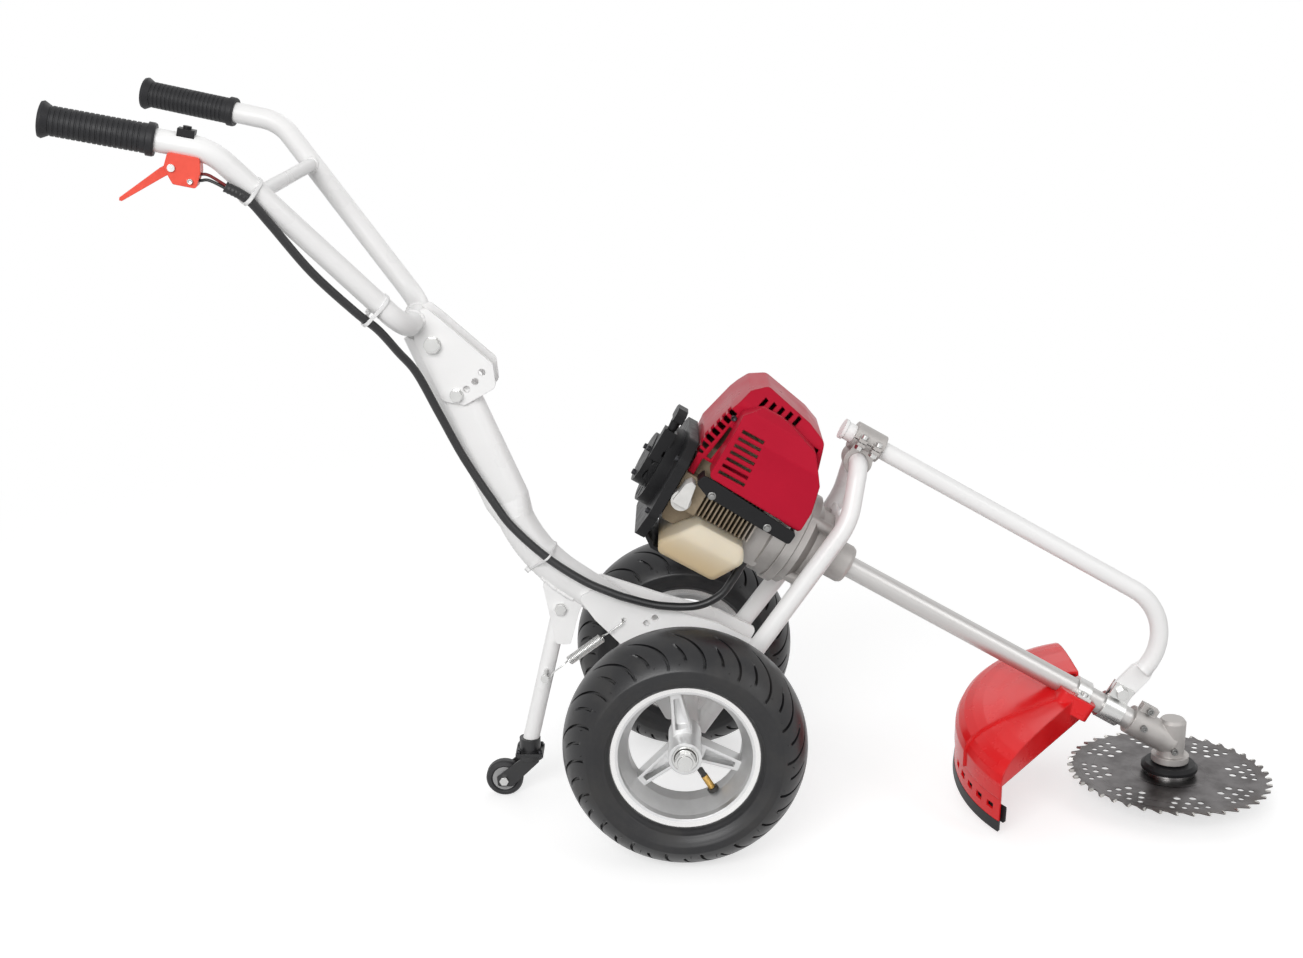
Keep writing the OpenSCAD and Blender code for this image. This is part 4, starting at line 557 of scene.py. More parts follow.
def tube_tree():
    """A round tube along the mesh's line of edges, with ribs if they have a height."""
    tree, given, out = new_tree(
        "tube_along_path", "GeometryNodeTree",
        [GEOMETRY, ("Radius", "Float", 0.005), ("Sides", "Int", 12), ("Step", "Float", 0.002),
         ("Rib Pitch", "Float", 0.004), ("Rib Height", "Float", 0.0), MATERIAL],
        [("Geometry", "Geometry")])
    even = even_curve(tree, given["Geometry"], given["Step"])
    along = add(tree, "GeometryNodeSplineParameter").outputs["Length"]
    kept = add(tree, "GeometryNodeStoreNamedAttribute", {0: even, "Name": "along", "Value": along},
               data_type="FLOAT", domain="POINT").outputs[0]
    turn = reckon(tree, "DIVIDE", times(tree, along, 2 * math.pi), given["Rib Pitch"])
    height = reckon(tree, "DIVIDE", given["Rib Height"], given["Radius"])
    swell = reckon(tree, "ADD", times(tree, reckon(tree, "SINE", turn), height), 1.0)
    section = add(tree, "GeometryNodeCurvePrimitiveCircle",
                  {"Resolution": given["Sides"], "Radius": given["Radius"]}).outputs[0]
    skin = add(tree, "GeometryNodeCurveToMesh", {0: kept, 1: section, 2: swell, 3: True}).outputs[0]
    finish_tree(tree, skin, given["Material"], out)
    return tree


def bead_tree():
    """Ripples of a weld along the mesh's line of edges."""
    tree, given, out = new_tree(
        "beads_along_path", "GeometryNodeTree",
        [GEOMETRY, ("Width", "Float", 0.005), ("Ripple", "Float", 0.002), ("Seed", "Int", 7), MATERIAL],
        [("Geometry", "Geometry")])
    even = even_curve(tree, given["Geometry"], given["Ripple"])
    heading = aimed(tree, add(tree, "GeometryNodeInputTangent").outputs[0], "X")
    vary = chance(tree, 0.86, 1.12, given["Seed"])
    half = times(tree, times(tree, given["Width"], 0.5), vary)
    size = joined(tree, times(tree, given["Ripple"], 1.05), half, half)
    drop = add(tree, "GeometryNodeMeshUVSphere", {"Segments": 10, "Rings": 6, "Radius": 1.0}).outputs[0]
    laid = add(tree, "GeometryNodeInstanceOnPoints", {0: even, 2: drop, 5: heading, 6: size}).outputs[0]
    finish_tree(tree, laid, given["Material"], out)
    return tree


def item_tree():
    """One shape on every point of the mesh, its Z along the point's facing and its turn by chance."""
    tree, given, out = new_tree(
        "items_on_points", "GeometryNodeTree",
        [GEOMETRY, ("Item", "Object", None), ("Turn", "Float", 1.0), ("Seed", "Int", 3), MATERIAL],
        [("Geometry", "Geometry")])
    facing = add(tree, "GeometryNodeInputNamedAttribute", {"Name": "facing"}, data_type="FLOAT_VECTOR")
    heading = aimed(tree, facing.outputs[0], "Z")
    angle = times(tree, chance(tree, 0.0, 6.28, given["Seed"]), given["Turn"])
    spin = add(tree, "FunctionNodeAxisAngleToRotation", {"Axis": (0, 0, 1), "Angle": angle}).outputs[0]
    turned = add(tree, "FunctionNodeRotateRotation", {0: heading, 1: spin}, rotation_space="LOCAL").outputs[0]
    item = add(tree, "GeometryNodeObjectInfo", {"Object": given["Item"], "As Instance": True})
    laid = add(tree, "GeometryNodeInstanceOnPoints",
               {0: given["Geometry"], 2: item.outputs["Geometry"], 5: turned}).outputs[0]
    finish_tree(tree, laid, given["Material"], out, smooth=False)
    return tree


def finish_tree(tree, geometry, material, out, smooth=True):
    """Realize Instances and Set Material at the end of a tree."""
    if smooth:
        geometry = add(tree, "GeometryNodeSetShadeSmooth", {0: geometry}).outputs[0]
    real = add(tree, "GeometryNodeRealizeInstances", {0: geometry}).outputs[0]
    put(tree, out.inputs[0], add(tree, "GeometryNodeSetMaterial", {0: real, "Material": material}).outputs[0])


def tree_named(name, maker):
    """A tree by name, built the first time that it is asked for."""
    return bpy.data.node_groups.get(name) or maker()


# Meshes and pieces


def show(name, mesh, material=None):
    """A new object at the origin for a finished mesh."""
    obj = bpy.data.objects.new(name, mesh)
    bpy.context.scene.collection.objects.link(obj)
    if material is not None:
        mesh.materials.clear()
        mesh.materials.append(material)
    return obj


def solid(name, verts, faces, sharp=35):
    """A smooth mesh whose edges stay sharp past an angle in degrees."""
    mesh = bpy.data.meshes.new(name)
    mesh.from_pydata([tuple(v) for v in verts], [], faces)
    mesh.shade_smooth()
    mesh.set_sharp_from_angle(angle=math.radians(sharp))
    return mesh


def outwards(mesh):
    """Turns the faces so that the enclosed volume is positive."""
    co = np.zeros(len(mesh.vertices) * 3)
    mesh.vertices.foreach_get("co", co)
    co = co.reshape(-1, 3) - co.reshape(-1, 3).mean(0)
    mesh.calc_loop_triangles()
    corners = np.zeros(len(mesh.loop_triangles) * 3, np.int32)
    mesh.loop_triangles.foreach_get("vertices", corners)
    a, b, c = (co[corners.reshape(-1, 3)[:, k]] for k in range(3))
    if np.einsum("ij,ij->", a, np.cross(b, c)) < 0:
        mesh.flip_normals()
    return mesh


def lines(name, paths):
    """A mesh of bare edges, one run of edges for each path."""
    verts, edges = [], []
    for path in paths:
        closed = (path[0] - path[-1]).length < 1e-7
        points = path[:-1] if closed else path
        first = len(verts)
        verts += [tuple(p) for p in points]
        edges += [(first + i, first + i + 1) for i in range(len(points) - 1)]
        if closed:
            edges.append((len(verts) - 1, first))
    mesh = bpy.data.meshes.new(name)
    mesh.from_pydata(verts, edges, [])
    return mesh


def grown(name, source, tree, values):
    """The plain mesh that a Geometry Nodes tree makes of a source mesh."""
    holder = show(name + "_source", source)
    modifier = holder.modifiers.new("grow", "NODES")
    modifier.node_group = tree
    for item in tree.interface.items_tree:
        if item.item_type == "SOCKET" and item.in_out == "INPUT" and item.name in values:
            modifier[item.identifier] = values[item.name]
    bpy.context.view_layer.update()
    depsgraph = bpy.context.evaluated_depsgraph_get()
    mesh = bpy.data.meshes.new_from_object(holder.evaluated_get(depsgraph), preserve_all_data_layers=True,
                                           depsgraph=depsgraph)
    mesh.name = name
    holder.modifiers.remove(modifier)
    bpy.data.objects.remove(holder)
    return mesh


def tube(name, path, diameter, material, sides=14, step=0.0015, pitch=0.004, rib=0.0):
    """A tube along a path, as an object that rides on nothing yet."""
    tree = tree_named("tube_along_path", tube_tree)
    mesh = grown(name, lines(name, [path]), tree,
                 {"Radius": diameter / 2, "Sides": sides, "Step": step, "Rib Pitch": pitch, "Rib Height": rib,
                  "Material": material})
    return show(name, mesh)


def welds(name, paths, material, width, ripple, seed):
    """Weld beads along several paths, as one object."""
    tree = tree_named("beads_along_path", bead_tree)
    mesh = grown(name, lines(name, paths), tree,
                 {"Width": width, "Ripple": ripple, "Seed": seed, "Material": material})
    return show(name, mesh)


def items(name, shape, places, material, turn=1.0):
    """A shape on every (place, facing) pair, as one object."""
    points = bpy.data.meshes.new(name)
    points.from_pydata([tuple(p) for p, _ in places], [], [])
    facing = points.attributes.new("facing", "FLOAT_VECTOR", "POINT")
    facing.data.foreach_set("vector", np.array([tuple(d) for _, d in places], np.float32).ravel())
    pattern = show(name + "_shape", shape)
    mesh = grown(name, points, tree_named("items_on_points", item_tree),
                 {"Item": pattern, "Turn": turn, "Material": material})
    bpy.data.objects.remove(pattern)
    return show(name, mesh)


def lathe(rings, count, name="turned"):
    """Rings of points about Z, each a (radius or radius by angle, height), closed at both ends."""
    verts, faces = [], []
    for radius, height in rings:
        for i in range(count):
            t = 2 * math.pi * i / count
            r = radius(t) if callable(radius) else radius
            verts.append((r * math.cos(t), r * math.sin(t), height))
    for k in range(len(rings) - 1):
        for i in range(count):
            j = (i + 1) % count
            faces.append((k * count + i, k * count + j, (k + 1) * count + j, (k + 1) * count + i))
    faces.append(tuple(range(count - 1, -1, -1)))
    faces.append(tuple((len(rings) - 1) * count + i for i in range(count)))
    return solid(name, verts, faces, sharp=30)


def six_sided(flats):
    """Radius of a hexagon by angle."""
    return lambda t: flats / 2 / math.cos((t + math.pi / 6) % (math.pi / 3) - math.pi / 6)


def hex_head(flats):
    """Hexagon head on its washer face, with a domed top."""
    side = six_sided(flats)
    return lathe([(flats * 0.72, 0), (flats * 0.72, flats * 0.12), (flats * 0.62, flats * 0.16),
                  (side, flats * 0.16), (side, flats * 0.62), (flats * 0.50, flats * 0.70),
                  (flats * 0.30, flats * 0.74)], 36)


def cap_head(width):
    """Cap screw head with a six-sided socket."""
    r = width / 2
    socket = six_sided(width * 0.52)
    return lathe([(r, 0), (r, width * 0.52), (r * 0.9, width * 0.6), (r * 0.66, width * 0.6),
                  (socket, width * 0.58), (socket, width * 0.26), (r * 0.1, width * 0.2)], 36)


# Finishes


def begin(name):
    """A new material with an empty tree, its shader and its Object coordinates."""
    material = bpy.data.materials.new(name)
    material.use_nodes = True
    tree = material.node_tree
    tree.nodes.clear()
    shader = tree.nodes.new("ShaderNodeBsdfPrincipled")
    tree.links.new(shader.outputs[0], tree.nodes.new("ShaderNodeOutputMaterial").inputs[0])
    return material, tree, shader, add(tree, "ShaderNodeTexCoord").outputs["Object"]


def raise_by(tree, shader, height, metres, normal=None):
    """Bump of a height in metres, over a softened normal if there is one."""
    inputs = {"Height": height, "Distance": metres, "Strength": 1.0}
    if normal is not None:
        inputs["Normal"] = normal
    put(tree, shader.inputs["Normal"], add(tree, "ShaderNodeBump", inputs).outputs[0])


def dress(tree, shader, colour, rough, metal=0.0):
    """Gives the shader its colour, roughness and metal."""
    for label, value in (("Base Color", colour), ("Roughness", rough), ("Metallic", metal)):
        put(tree, shader.inputs[label], value)


def scaled(colour, factor):
    """A darker or lighter shade of a colour."""
    return tuple(min(c * factor, 1.0) for c in colour)


def mottled(tree, factor, colour, low, high):
    """A colour that goes from a darker to a lighter shade of itself."""
    return tint(tree, factor, scaled(colour, low), scaled(colour, high))


def clouded(tree, factor, low, high):
    """A value that goes from low to high over the middle of a noise's range."""
    return spread(tree, factor, 0.3, 0.7, low, high)


def scuffed(tree, value, marks, amount):
    """A roughness that scuffs make duller."""
    return reckon(tree, "ADD", value, times(tree, marks["Mask"], amount))


def band(tree, value, low, high, blur):
    """1 where a value lies between low and high."""
    return times(tree, spread(tree, value, low, low + blur), spread(tree, value, high, high - blur))


def from_crank(tree, where, direction):
    """Distance from the crank along a direction."""
    return arrow(tree, "DOT_PRODUCT", arrow(tree, "SUBTRACT", where, tuple(DRIVE_AT)), tuple(direction))


def radius_from(tree, where, centre, keep):
    """Distance from the axis of a part that turns."""
    return effect(tree, "radius_about", Vector=where, Centre=tuple(centre), Keep=keep)["Radius"]


def round_lines(tree, where, centre, keep, scale):
    """Turned or ground lines that run round a part, and the distance from its middle."""
    radius = radius_from(tree, where, centre, keep)
    line = joined(tree, 0.0, radius, 0.0)
    return effect(tree, "brush_lines", Vector=line, Scale=scale, Length=1.0), radius


def coat(tree, where):
    """Powder coat: its peel and its edges."""
    return (effect(tree, "paint_peel", Vector=where, Scale=560.0),
            effect(tree, "worn_edges", Vector=where, Radius=0.0009, Amount=0.35))


def painted(name, colour, rough=0.30):
    """Powder coat: orange peel, faint clouds, thin paint on edges and light scuffs."""
    material, tree, shader, where = begin(name)
    skin, edges = coat(tree, where)
    marks = effect(tree, "scuffs", Vector=where, Scale=70.0, Amount=0.08)
    body = mottled(tree, skin["Cloud"], colour, 0.95, 1.04)
    thin = tint(tree, edges["Mask"], body, scaled(colour, 0.72))
    worn = clouded(tree, skin["Cloud"], rough - 0.04, rough + 0.08)
    dress(tree, shader, tint(tree, marks["Mask"], thin, scaled(colour, 0.80)),
          scuffed(tree, worn, marks, 0.3))
    raise_by(tree, shader, skin["Height"], COAT_RELIEF, edges["Normal"])
    return material


def leg_paint(name, colour, black, steel):
    """Stand leg: white coat, black from the caster plate up to the boss's rim, and a bare steel stud."""
    material, tree, shader, where = begin(name)
    skin, edges = coat(tree, where)
    _, side, height = split(tree, where)
    foot = spread(tree, height, *LEG_BLACK_HEIGHT)
    stud = times(tree, spread(tree, side, *LEG_STUD_SIDE), spread(tree, height, *LEG_STUD_HEIGHT))
    white_coat = mottled(tree, skin["Cloud"], colour, 0.95, 1.04)
    dark = tint(tree, edges["Mask"], scaled(black, 1.2), (0.10, 0.10, 0.10))
    body = tint(tree, foot, tint(tree, edges["Mask"], white_coat, scaled(colour, 0.72)), dark)
    dress(tree, shader, tint(tree, stud, body, steel), clouded(tree, skin["Cloud"], 0.26, 0.38), stud)
    raise_by(tree, shader, skin["Height"], COAT_RELIEF, edges["Normal"])
    return material


def moulded(name, colour, rough=0.42, grain=2200.0, relief=0.000012, edge=0.0010, lift=2.4, shine=0.30,
            edge_share=0.5):
    """Moulded plastic or rubber: fine grain, cloudy gloss, and edges rubbed paler."""
    material, tree, shader, where = begin(name)
    skin = effect(tree, "cast_skin", Vector=where, Scale=grain)
    edges = effect(tree, "worn_edges", Vector=where, Radius=edge, Amount=edge_share)
    marks = effect(tree, "scuffs", Vector=where, Scale=80.0, Amount=0.4)
    body = mottled(tree, skin["Shade"], colour, 0.86, 1.14)
    rubbed = tint(tree, edges["Mask"], body, scaled(colour, lift))
    gloss = clouded(tree, skin["Shade"], rough - 0.06, rough + 0.08)
    dress(tree, shader, tint(tree, marks["Mask"], rubbed, scaled(colour, lift)),
          scuffed(tree, gloss, marks, 0.2))
    raise_by(tree, shader, skin["Height"], relief, edges["Normal"])
    shader.inputs["Specular IOR Level"].default_value = shine
    return material


def cast(name, colour):
    """Cast alloy: pitted skin, patches, and edges polished by handling."""
    material, tree, shader, where = begin(name)
    skin = effect(tree, "cast_skin", Vector=where, Scale=1100.0)
    edges = effect(tree, "worn_edges", Vector=where, Radius=0.0012, Amount=0.8)
    body = mottled(tree, skin["Shade"], colour, 0.78, 1.18)
    worn = clouded(tree, skin["Shade"], 0.44, 0.60)
    dress(tree, shader, tint(tree, edges["Mask"], body, scaled(colour, 1.45)),
          reckon(tree, "SUBTRACT", worn, times(tree, edges["Mask"], 0.15)), 0.60)
    raise_by(tree, shader, skin["Height"], CAST_RELIEF, edges["Normal"])
    return material


def engine_casting(name, colour):
    """Engine casting: plain alloy at the crankcase, turning darker brown towards the cooling fins."""
    material, tree, shader, where = begin(name)
    skin = effect(tree, "cast_skin", Vector=where, Scale=1100.0)
    edges = effect(tree, "worn_edges", Vector=where, Radius=0.0012, Amount=0.6)
    # Darker brown from the crankcase back over the cylinder and its cooling fins
    dark_brown = spread(tree, from_crank(tree, where, DRIVE_DIR), *DARK_BROWN_ALONG)
    plain_alloy = mottled(tree, skin["Shade"], colour, 0.78, 1.18)
    brown = tint(tree, noise(tree, where, 45.0, 4.0, 0.6), (0.11, 0.085, 0.055), (0.46, 0.37, 0.26))
    rubbed = tint(tree, dark_brown, scaled(colour, 1.4), (0.40, 0.34, 0.27))
    dress(tree, shader, tint(tree, edges["Mask"], tint(tree, dark_brown, plain_alloy, brown), rubbed),
          clouded(tree, skin["Shade"], 0.46, 0.62), 0.55)
    raise_by(tree, shader, skin["Height"], CAST_RELIEF, edges["Normal"])
    return material


def plated(name, colour, rough=0.26):
    """Zinc plated steel: faint crystal clouds, fine scratches and bright edges."""
    material, tree, shader, where = begin(name)
    skin = effect(tree, "paint_peel", Vector=where, Scale=1800.0)
    edges = effect(tree, "worn_edges", Vector=where, Radius=0.0006, Amount=0.7)
    marks = effect(tree, "scuffs", Vector=where, Scale=240.0, Amount=0.6)
    body = mottled(tree, skin["Cloud"], colour, 0.80, 1.12)
    cloud = clouded(tree, skin["Cloud"], rough - 0.06, rough + 0.08)
    dress(tree, shader, tint(tree, edges["Mask"], body, scaled(colour, 1.35)),
          scuffed(tree, cloud, marks, 0.25), 1.0)
    raise_by(tree, shader, skin["Height"], 0.000012, edges["Normal"])
    return material


def drawn_tube(name, colour):
    """Drawn alloy tube: fine lines along the drive tube."""
    material, tree, shader, where = begin(name)
    turned = moved(tree, where, rotation=(0, -DRIVE_ANGLE, 0))
    brushed = effect(tree, "brush_lines", Vector=turned, Scale=1600.0, Length=0.012)
    edges = effect(tree, "worn_edges", Vector=where, Radius=0.0006, Amount=0.6)
    body = mottled(tree, brushed["Shade"], colour, 0.86, 1.10)
    dress(tree, shader, tint(tree, edges["Mask"], body, scaled(colour, 1.3)),
          clouded(tree, brushed["Shade"], 0.36, 0.48), 0.80)
    raise_by(tree, shader, brushed["Height"], 0.000010, edges["Normal"])
    return material


def rim_alloy(name, side):
    """Cast wheel in silver: turned flange, grained well and spokes."""
    material, tree, shader, where = begin(name)
    turned, radius = round_lines(tree, where, WHEEL_AT[side], ROUND_Y, 2600.0)
    skin = effect(tree, "cast_skin", Vector=where, Scale=1300.0)
    edges = effect(tree, "worn_edges", Vector=where, Radius=0.0013, Amount=0.7)
    flange = spread(tree, radius, *FLANGE_RADIUS)
    casting = mottled(tree, skin["Shade"], (0.64, 0.64, 0.64), 0.84, 1.10)
    bright = tint(tree, turned["Shade"], (0.72, 0.71, 0.70), (0.86, 0.855, 0.85))
    body = tint(tree, flange, casting, bright)
    dress(tree, shader, tint(tree, edges["Mask"], body, (0.90, 0.89, 0.88)),
          spread(tree, flange, 0.0, 1.0, 0.40, 0.22), 0.85)
    raise_by(tree, shader, mixed(tree, flange, skin["Height"], turned["Height"]), 0.000020, edges["Normal"])
    return material


def bearing_steel(name, side):
    """Ground bearing races with a dark seal between them."""
    material, tree, shader, where = begin(name)
    turned, radius = round_lines(tree, where, WHEEL_AT[side], ROUND_Y, 5200.0)
    edges = effect(tree, "worn_edges", Vector=where, Radius=0.0006, Amount=0.5)
    seal = band(tree, radius, *SEAL_RADIUS, 0.0003)
    steel = tint(tree, turned["Shade"], (0.48, 0.48, 0.47), (0.72, 0.72, 0.71))
    dress(tree, shader, tint(tree, seal, steel, (0.035, 0.030, 0.026)),
          spread(tree, seal, 0.0, 1.0, 0.24, 0.55), spread(tree, seal, 0.0, 1.0, 1.0, 0.0))
    raise_by(tree, shader, turned["Height"], 0.000008, edges["Normal"])
    return material


def valve_brass(name, side):
    """Brass stem with a black cap and a black rubber foot."""
    material, tree, shader, where = begin(name)
    radius = radius_from(tree, where, WHEEL_AT[side], ROUND_Y)
    skin = effect(tree, "paint_peel", Vector=where, Scale=2600.0)
    edges = effect(tree, "worn_edges", Vector=where, Radius=0.0005, Amount=0.6)
    metal = band(tree, radius, *BRASS_RADIUS, 0.0003)
    brass = tint(tree, skin["Cloud"], (0.42, 0.25, 0.07), (0.62, 0.40, 0.13))
    dress(tree, shader, tint(tree, metal, (0.020, 0.018, 0.016), brass),
          clouded(tree, skin["Cloud"], 0.28, 0.50), metal)
    thread = reckon(tree, "SINE", times(tree, radius, 7000.0))
    raise_by(tree, shader, times(tree, thread, metal), 0.00008, edges["Normal"])
    return material


def tyre_rubber(name, side, colour):
    """Tyre rubber: satin tread, duller side walls, fine rings on the side wall and mould bloom."""
    material, tree, shader, where = begin(name)
    turned, radius = round_lines(tree, where, WHEEL_AT[side], ROUND_Y, 900.0)
    skin = effect(tree, "cast_skin", Vector=where, Scale=1500.0)
    bloom = spread(tree, noise(tree, where, 24.0, 5.0, 0.62), 0.42, 0.72)
    body = mottled(tree, skin["Shade"], colour, 0.75, 1.25)
    wall = spread(tree, radius, *TYRE_WALL_RADIUS)
    gloss = spread(tree, bloom, 0.0, 1.0, 0.33, 0.50)
    dress(tree, shader, tint(tree, times(tree, bloom, 0.55), body, (0.034, 0.032, 0.030)),
          reckon(tree, "ADD", gloss, times(tree, wall, 0.06)))
    raise_by(tree, shader, mixed(tree, wall, skin["Height"], turned["Height"]), 0.00005)
    shader.inputs["Specular IOR Level"].default_value = 0.42
    return material


def caster_tread(name, colour):
    """Caster wheel: black tread on a grey hub."""
    material, tree, shader, where = begin(name)
    turned, radius = round_lines(tree, where, CASTER_AT, ROUND_Y, 1800.0)
    edges = effect(tree, "worn_edges", Vector=where, Radius=0.0008, Amount=0.7)
    hub = spread(tree, radius, *CASTER_HUB_RADIUS)
    black = mottled(tree, turned["Shade"], colour, 0.8, 1.6)
    grey = tint(tree, turned["Shade"], (0.30, 0.30, 0.30), (0.42, 0.42, 0.42))
    dress(tree, shader, tint(tree, edges["Mask"], tint(tree, hub, black, grey), (0.16, 0.16, 0.16)),
          spread(tree, hub, 0.0, 1.0, 0.52, 0.40))
    raise_by(tree, shader, turned["Height"], 0.00003, edges["Normal"])
    return material


def blade_steel(name):
    """Rolled blade steel, ground in rings, with heat stain towards the teeth."""
    material, tree, shader, where = begin(name)
    turned, radius = round_lines(tree, where, GEAR_AT, ROUND_Z, 1500.0)
    edges = effect(tree, "worn_edges", Vector=where, Radius=0.0004, Amount=0.8)
    marks = effect(tree, "scuffs", Vector=where, Scale=60.0, Amount=0.6)
    stain = spread(tree, noise(tree, where, 30.0, 5.0, 0.6), 0.35, 0.7)
    rolled = tint(tree, turned["Shade"], (0.10, 0.094, 0.095), (0.19, 0.18, 0.18))
    steel = tint(tree, stain, rolled, (0.070, 0.064, 0.064))
    heat = times(tree, spread(tree, radius, *BLADE_STAIN_RADIUS), stain)
    warm = tint(tree, heat, steel, (0.10, 0.085, 0.080))
    rough = clouded(tree, turned["Shade"], 0.26, 0.40)
    dress(tree, shader, tint(tree, edges["Mask"], warm, (0.45, 0.44, 0.43)),
          scuffed(tree, rough, marks, 0.2), 1.0)
    raise_by(tree, shader, turned["Height"], 0.000030, edges["Normal"])
    return material


def tank_plastic(name, colour):
    """Milky tank plastic: deeper cream towards the fuel, with a moulding seam round its middle."""
    material, tree, shader, where = begin(name)
    skin = effect(tree, "cast_skin", Vector=where, Scale=900.0)
    edges = effect(tree, "worn_edges", Vector=where, Radius=0.0110, Amount=0.15)
    level = spread(tree, from_crank(tree, where, DRIVE_UP), *FUEL_HEIGHT)
    cloudy = mottled(tree, skin["Shade"], colour, 0.95, 1.05)
    fuel = (colour[0] * 0.88, colour[1] * 0.78, colour[2] * 0.62)
    dress(tree, shader, tint(tree, level, cloudy, fuel), clouded(tree, skin["Shade"], 0.30, 0.40))
    shader.inputs["Subsurface Weight"].default_value = 0.25
    shader.inputs["Subsurface Radius"].default_value = (0.9, 0.7, 0.4)
    shader.inputs["Subsurface Scale"].default_value = 0.006
    seam = band(tree, split(tree, where)[1], *TANK_SEAM_SIDE, 0.0005)
    height = reckon(tree, "ADD", seam, times(tree, skin["Height"], 0.04))
    raise_by(tree, shader, height, 0.0005, edges["Normal"])
    return material


def skirt_plastic(name, red, black):
    """Guard skirt: red wall and the black strip along its lower edge."""
    material, tree, shader, where = begin(name)
    own = moved(tree, where, tuple(GUARD_AT), (GUARD_ROLL, GUARD_PITCH, 0), kind="TEXTURE")
    strip = spread(tree, split(tree, own)[2], *SKIRT_STRIP_HEIGHT)
    skin = effect(tree, "cast_skin", Vector=where, Scale=700.0)
    edges = effect(tree, "worn_edges", Vector=where, Radius=0.0010, Amount=0.4)
    wall = mottled(tree, skin["Shade"], red, 0.92, 1.06)
    body = tint(tree, strip, wall, mottled(tree, skin["Shade"], black, 0.9, 1.4))
    rubbed = tint(tree, strip, scaled(red, 1.15), (0.09, 0.09, 0.09))
    dress(tree, shader, tint(tree, edges["Mask"], body, rubbed), spread(tree, strip, 0.0, 1.0, 0.26, 0.48))
    shader.inputs["Specular IOR Level"].default_value = 0.32
    raise_by(tree, shader, skin["Height"], 0.000016, edges["Normal"])
    return material


def rope_braid(name):
    """Braided cord: two sets of strands that cross."""
    material, tree, shader, where = begin(name)
    strands = []
    for turn in ((0.5, 0.3, 0), (-0.5, 0.3, 0.8)):
        wave = add(tree, "ShaderNodeTexWave", {"Vector": moved(tree, where, rotation=turn), "Scale": 160.0})
        strands.append(wave.outputs[1])
    weave = reckon(tree, "MAXIMUM", *strands)
    dress(tree, shader, tint(tree, weave, (0.02, 0.02, 0.021), (0.10, 0.10, 0.10)),
          spread(tree, weave, 0.0, 1.0, 0.85, 0.65))
    raise_by(tree, shader, weave, 0.0003)
    return material


def sleeve_plastic(name, colour):
    """Cable sleeve: satin black with fine rings and rubbed patches."""
    material, tree, shader, where = begin(name)
    skin = effect(tree, "cast_skin", Vector=where, Scale=1800.0)
    along = add(tree, "ShaderNodeAttribute", attribute_name="along").outputs["Fac"]
    rings = reckon(tree, "SINE", times(tree, along, 2600.0))
    marks = effect(tree, "scuffs", Vector=where, Scale=120.0, Amount=0.7)
    body = mottled(tree, skin["Shade"], colour, 0.8, 1.5)
    dress(tree, shader, tint(tree, marks["Mask"], body, (0.07, 0.07, 0.07)),
          clouded(tree, skin["Shade"], 0.34, 0.48))
    raise_by(tree, shader, reckon(tree, "ADD", skin["Height"], times(tree, rings, 0.5)), 0.00004)
    return material


def finish(name, maker, *values, **more):
    """A finish by name, made the first time that it is asked for."""
    return bpy.data.materials.get(name) or maker(name, *values, **more)


def coat_node(node, material):
    """Gives a CAD node a finish."""
    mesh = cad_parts[node].data
    mesh.materials.clear()
    mesh.materials.append(material)


def colours():
    """The chosen colours by name."""
    chosen = bpy.context.scene.cutter_colours
    return {name: tuple(getattr(chosen, name)) for name in CutterColours.__annotations__}


def white():
    """White powder coat of the frame."""
    return finish("white_powder_coat", painted, colours()["frame_white"])


def zinc():
    """Zinc plate of the bolts and straps."""
    return finish("zinc_plate", plated, colours()["steel"])


def black_plastic():
    """Black moulding of the engine, the clamp and the collar."""
    return finish("black_moulding", moulded, colours()["black"], rough=0.42, lift=3.5, shine=0.18)


def cast_alloy():
    """Bare casting of the clutch housing, the gear case and the cross clamp."""
    return finish("sand_casting", cast, colours()["cast_grey"])


def nylon():
    """Pale nylon of the cable ties."""
    return finish("tie_nylon", moulded, colours()["frame_white"], rough=0.38, lift=1.1)


# Operators


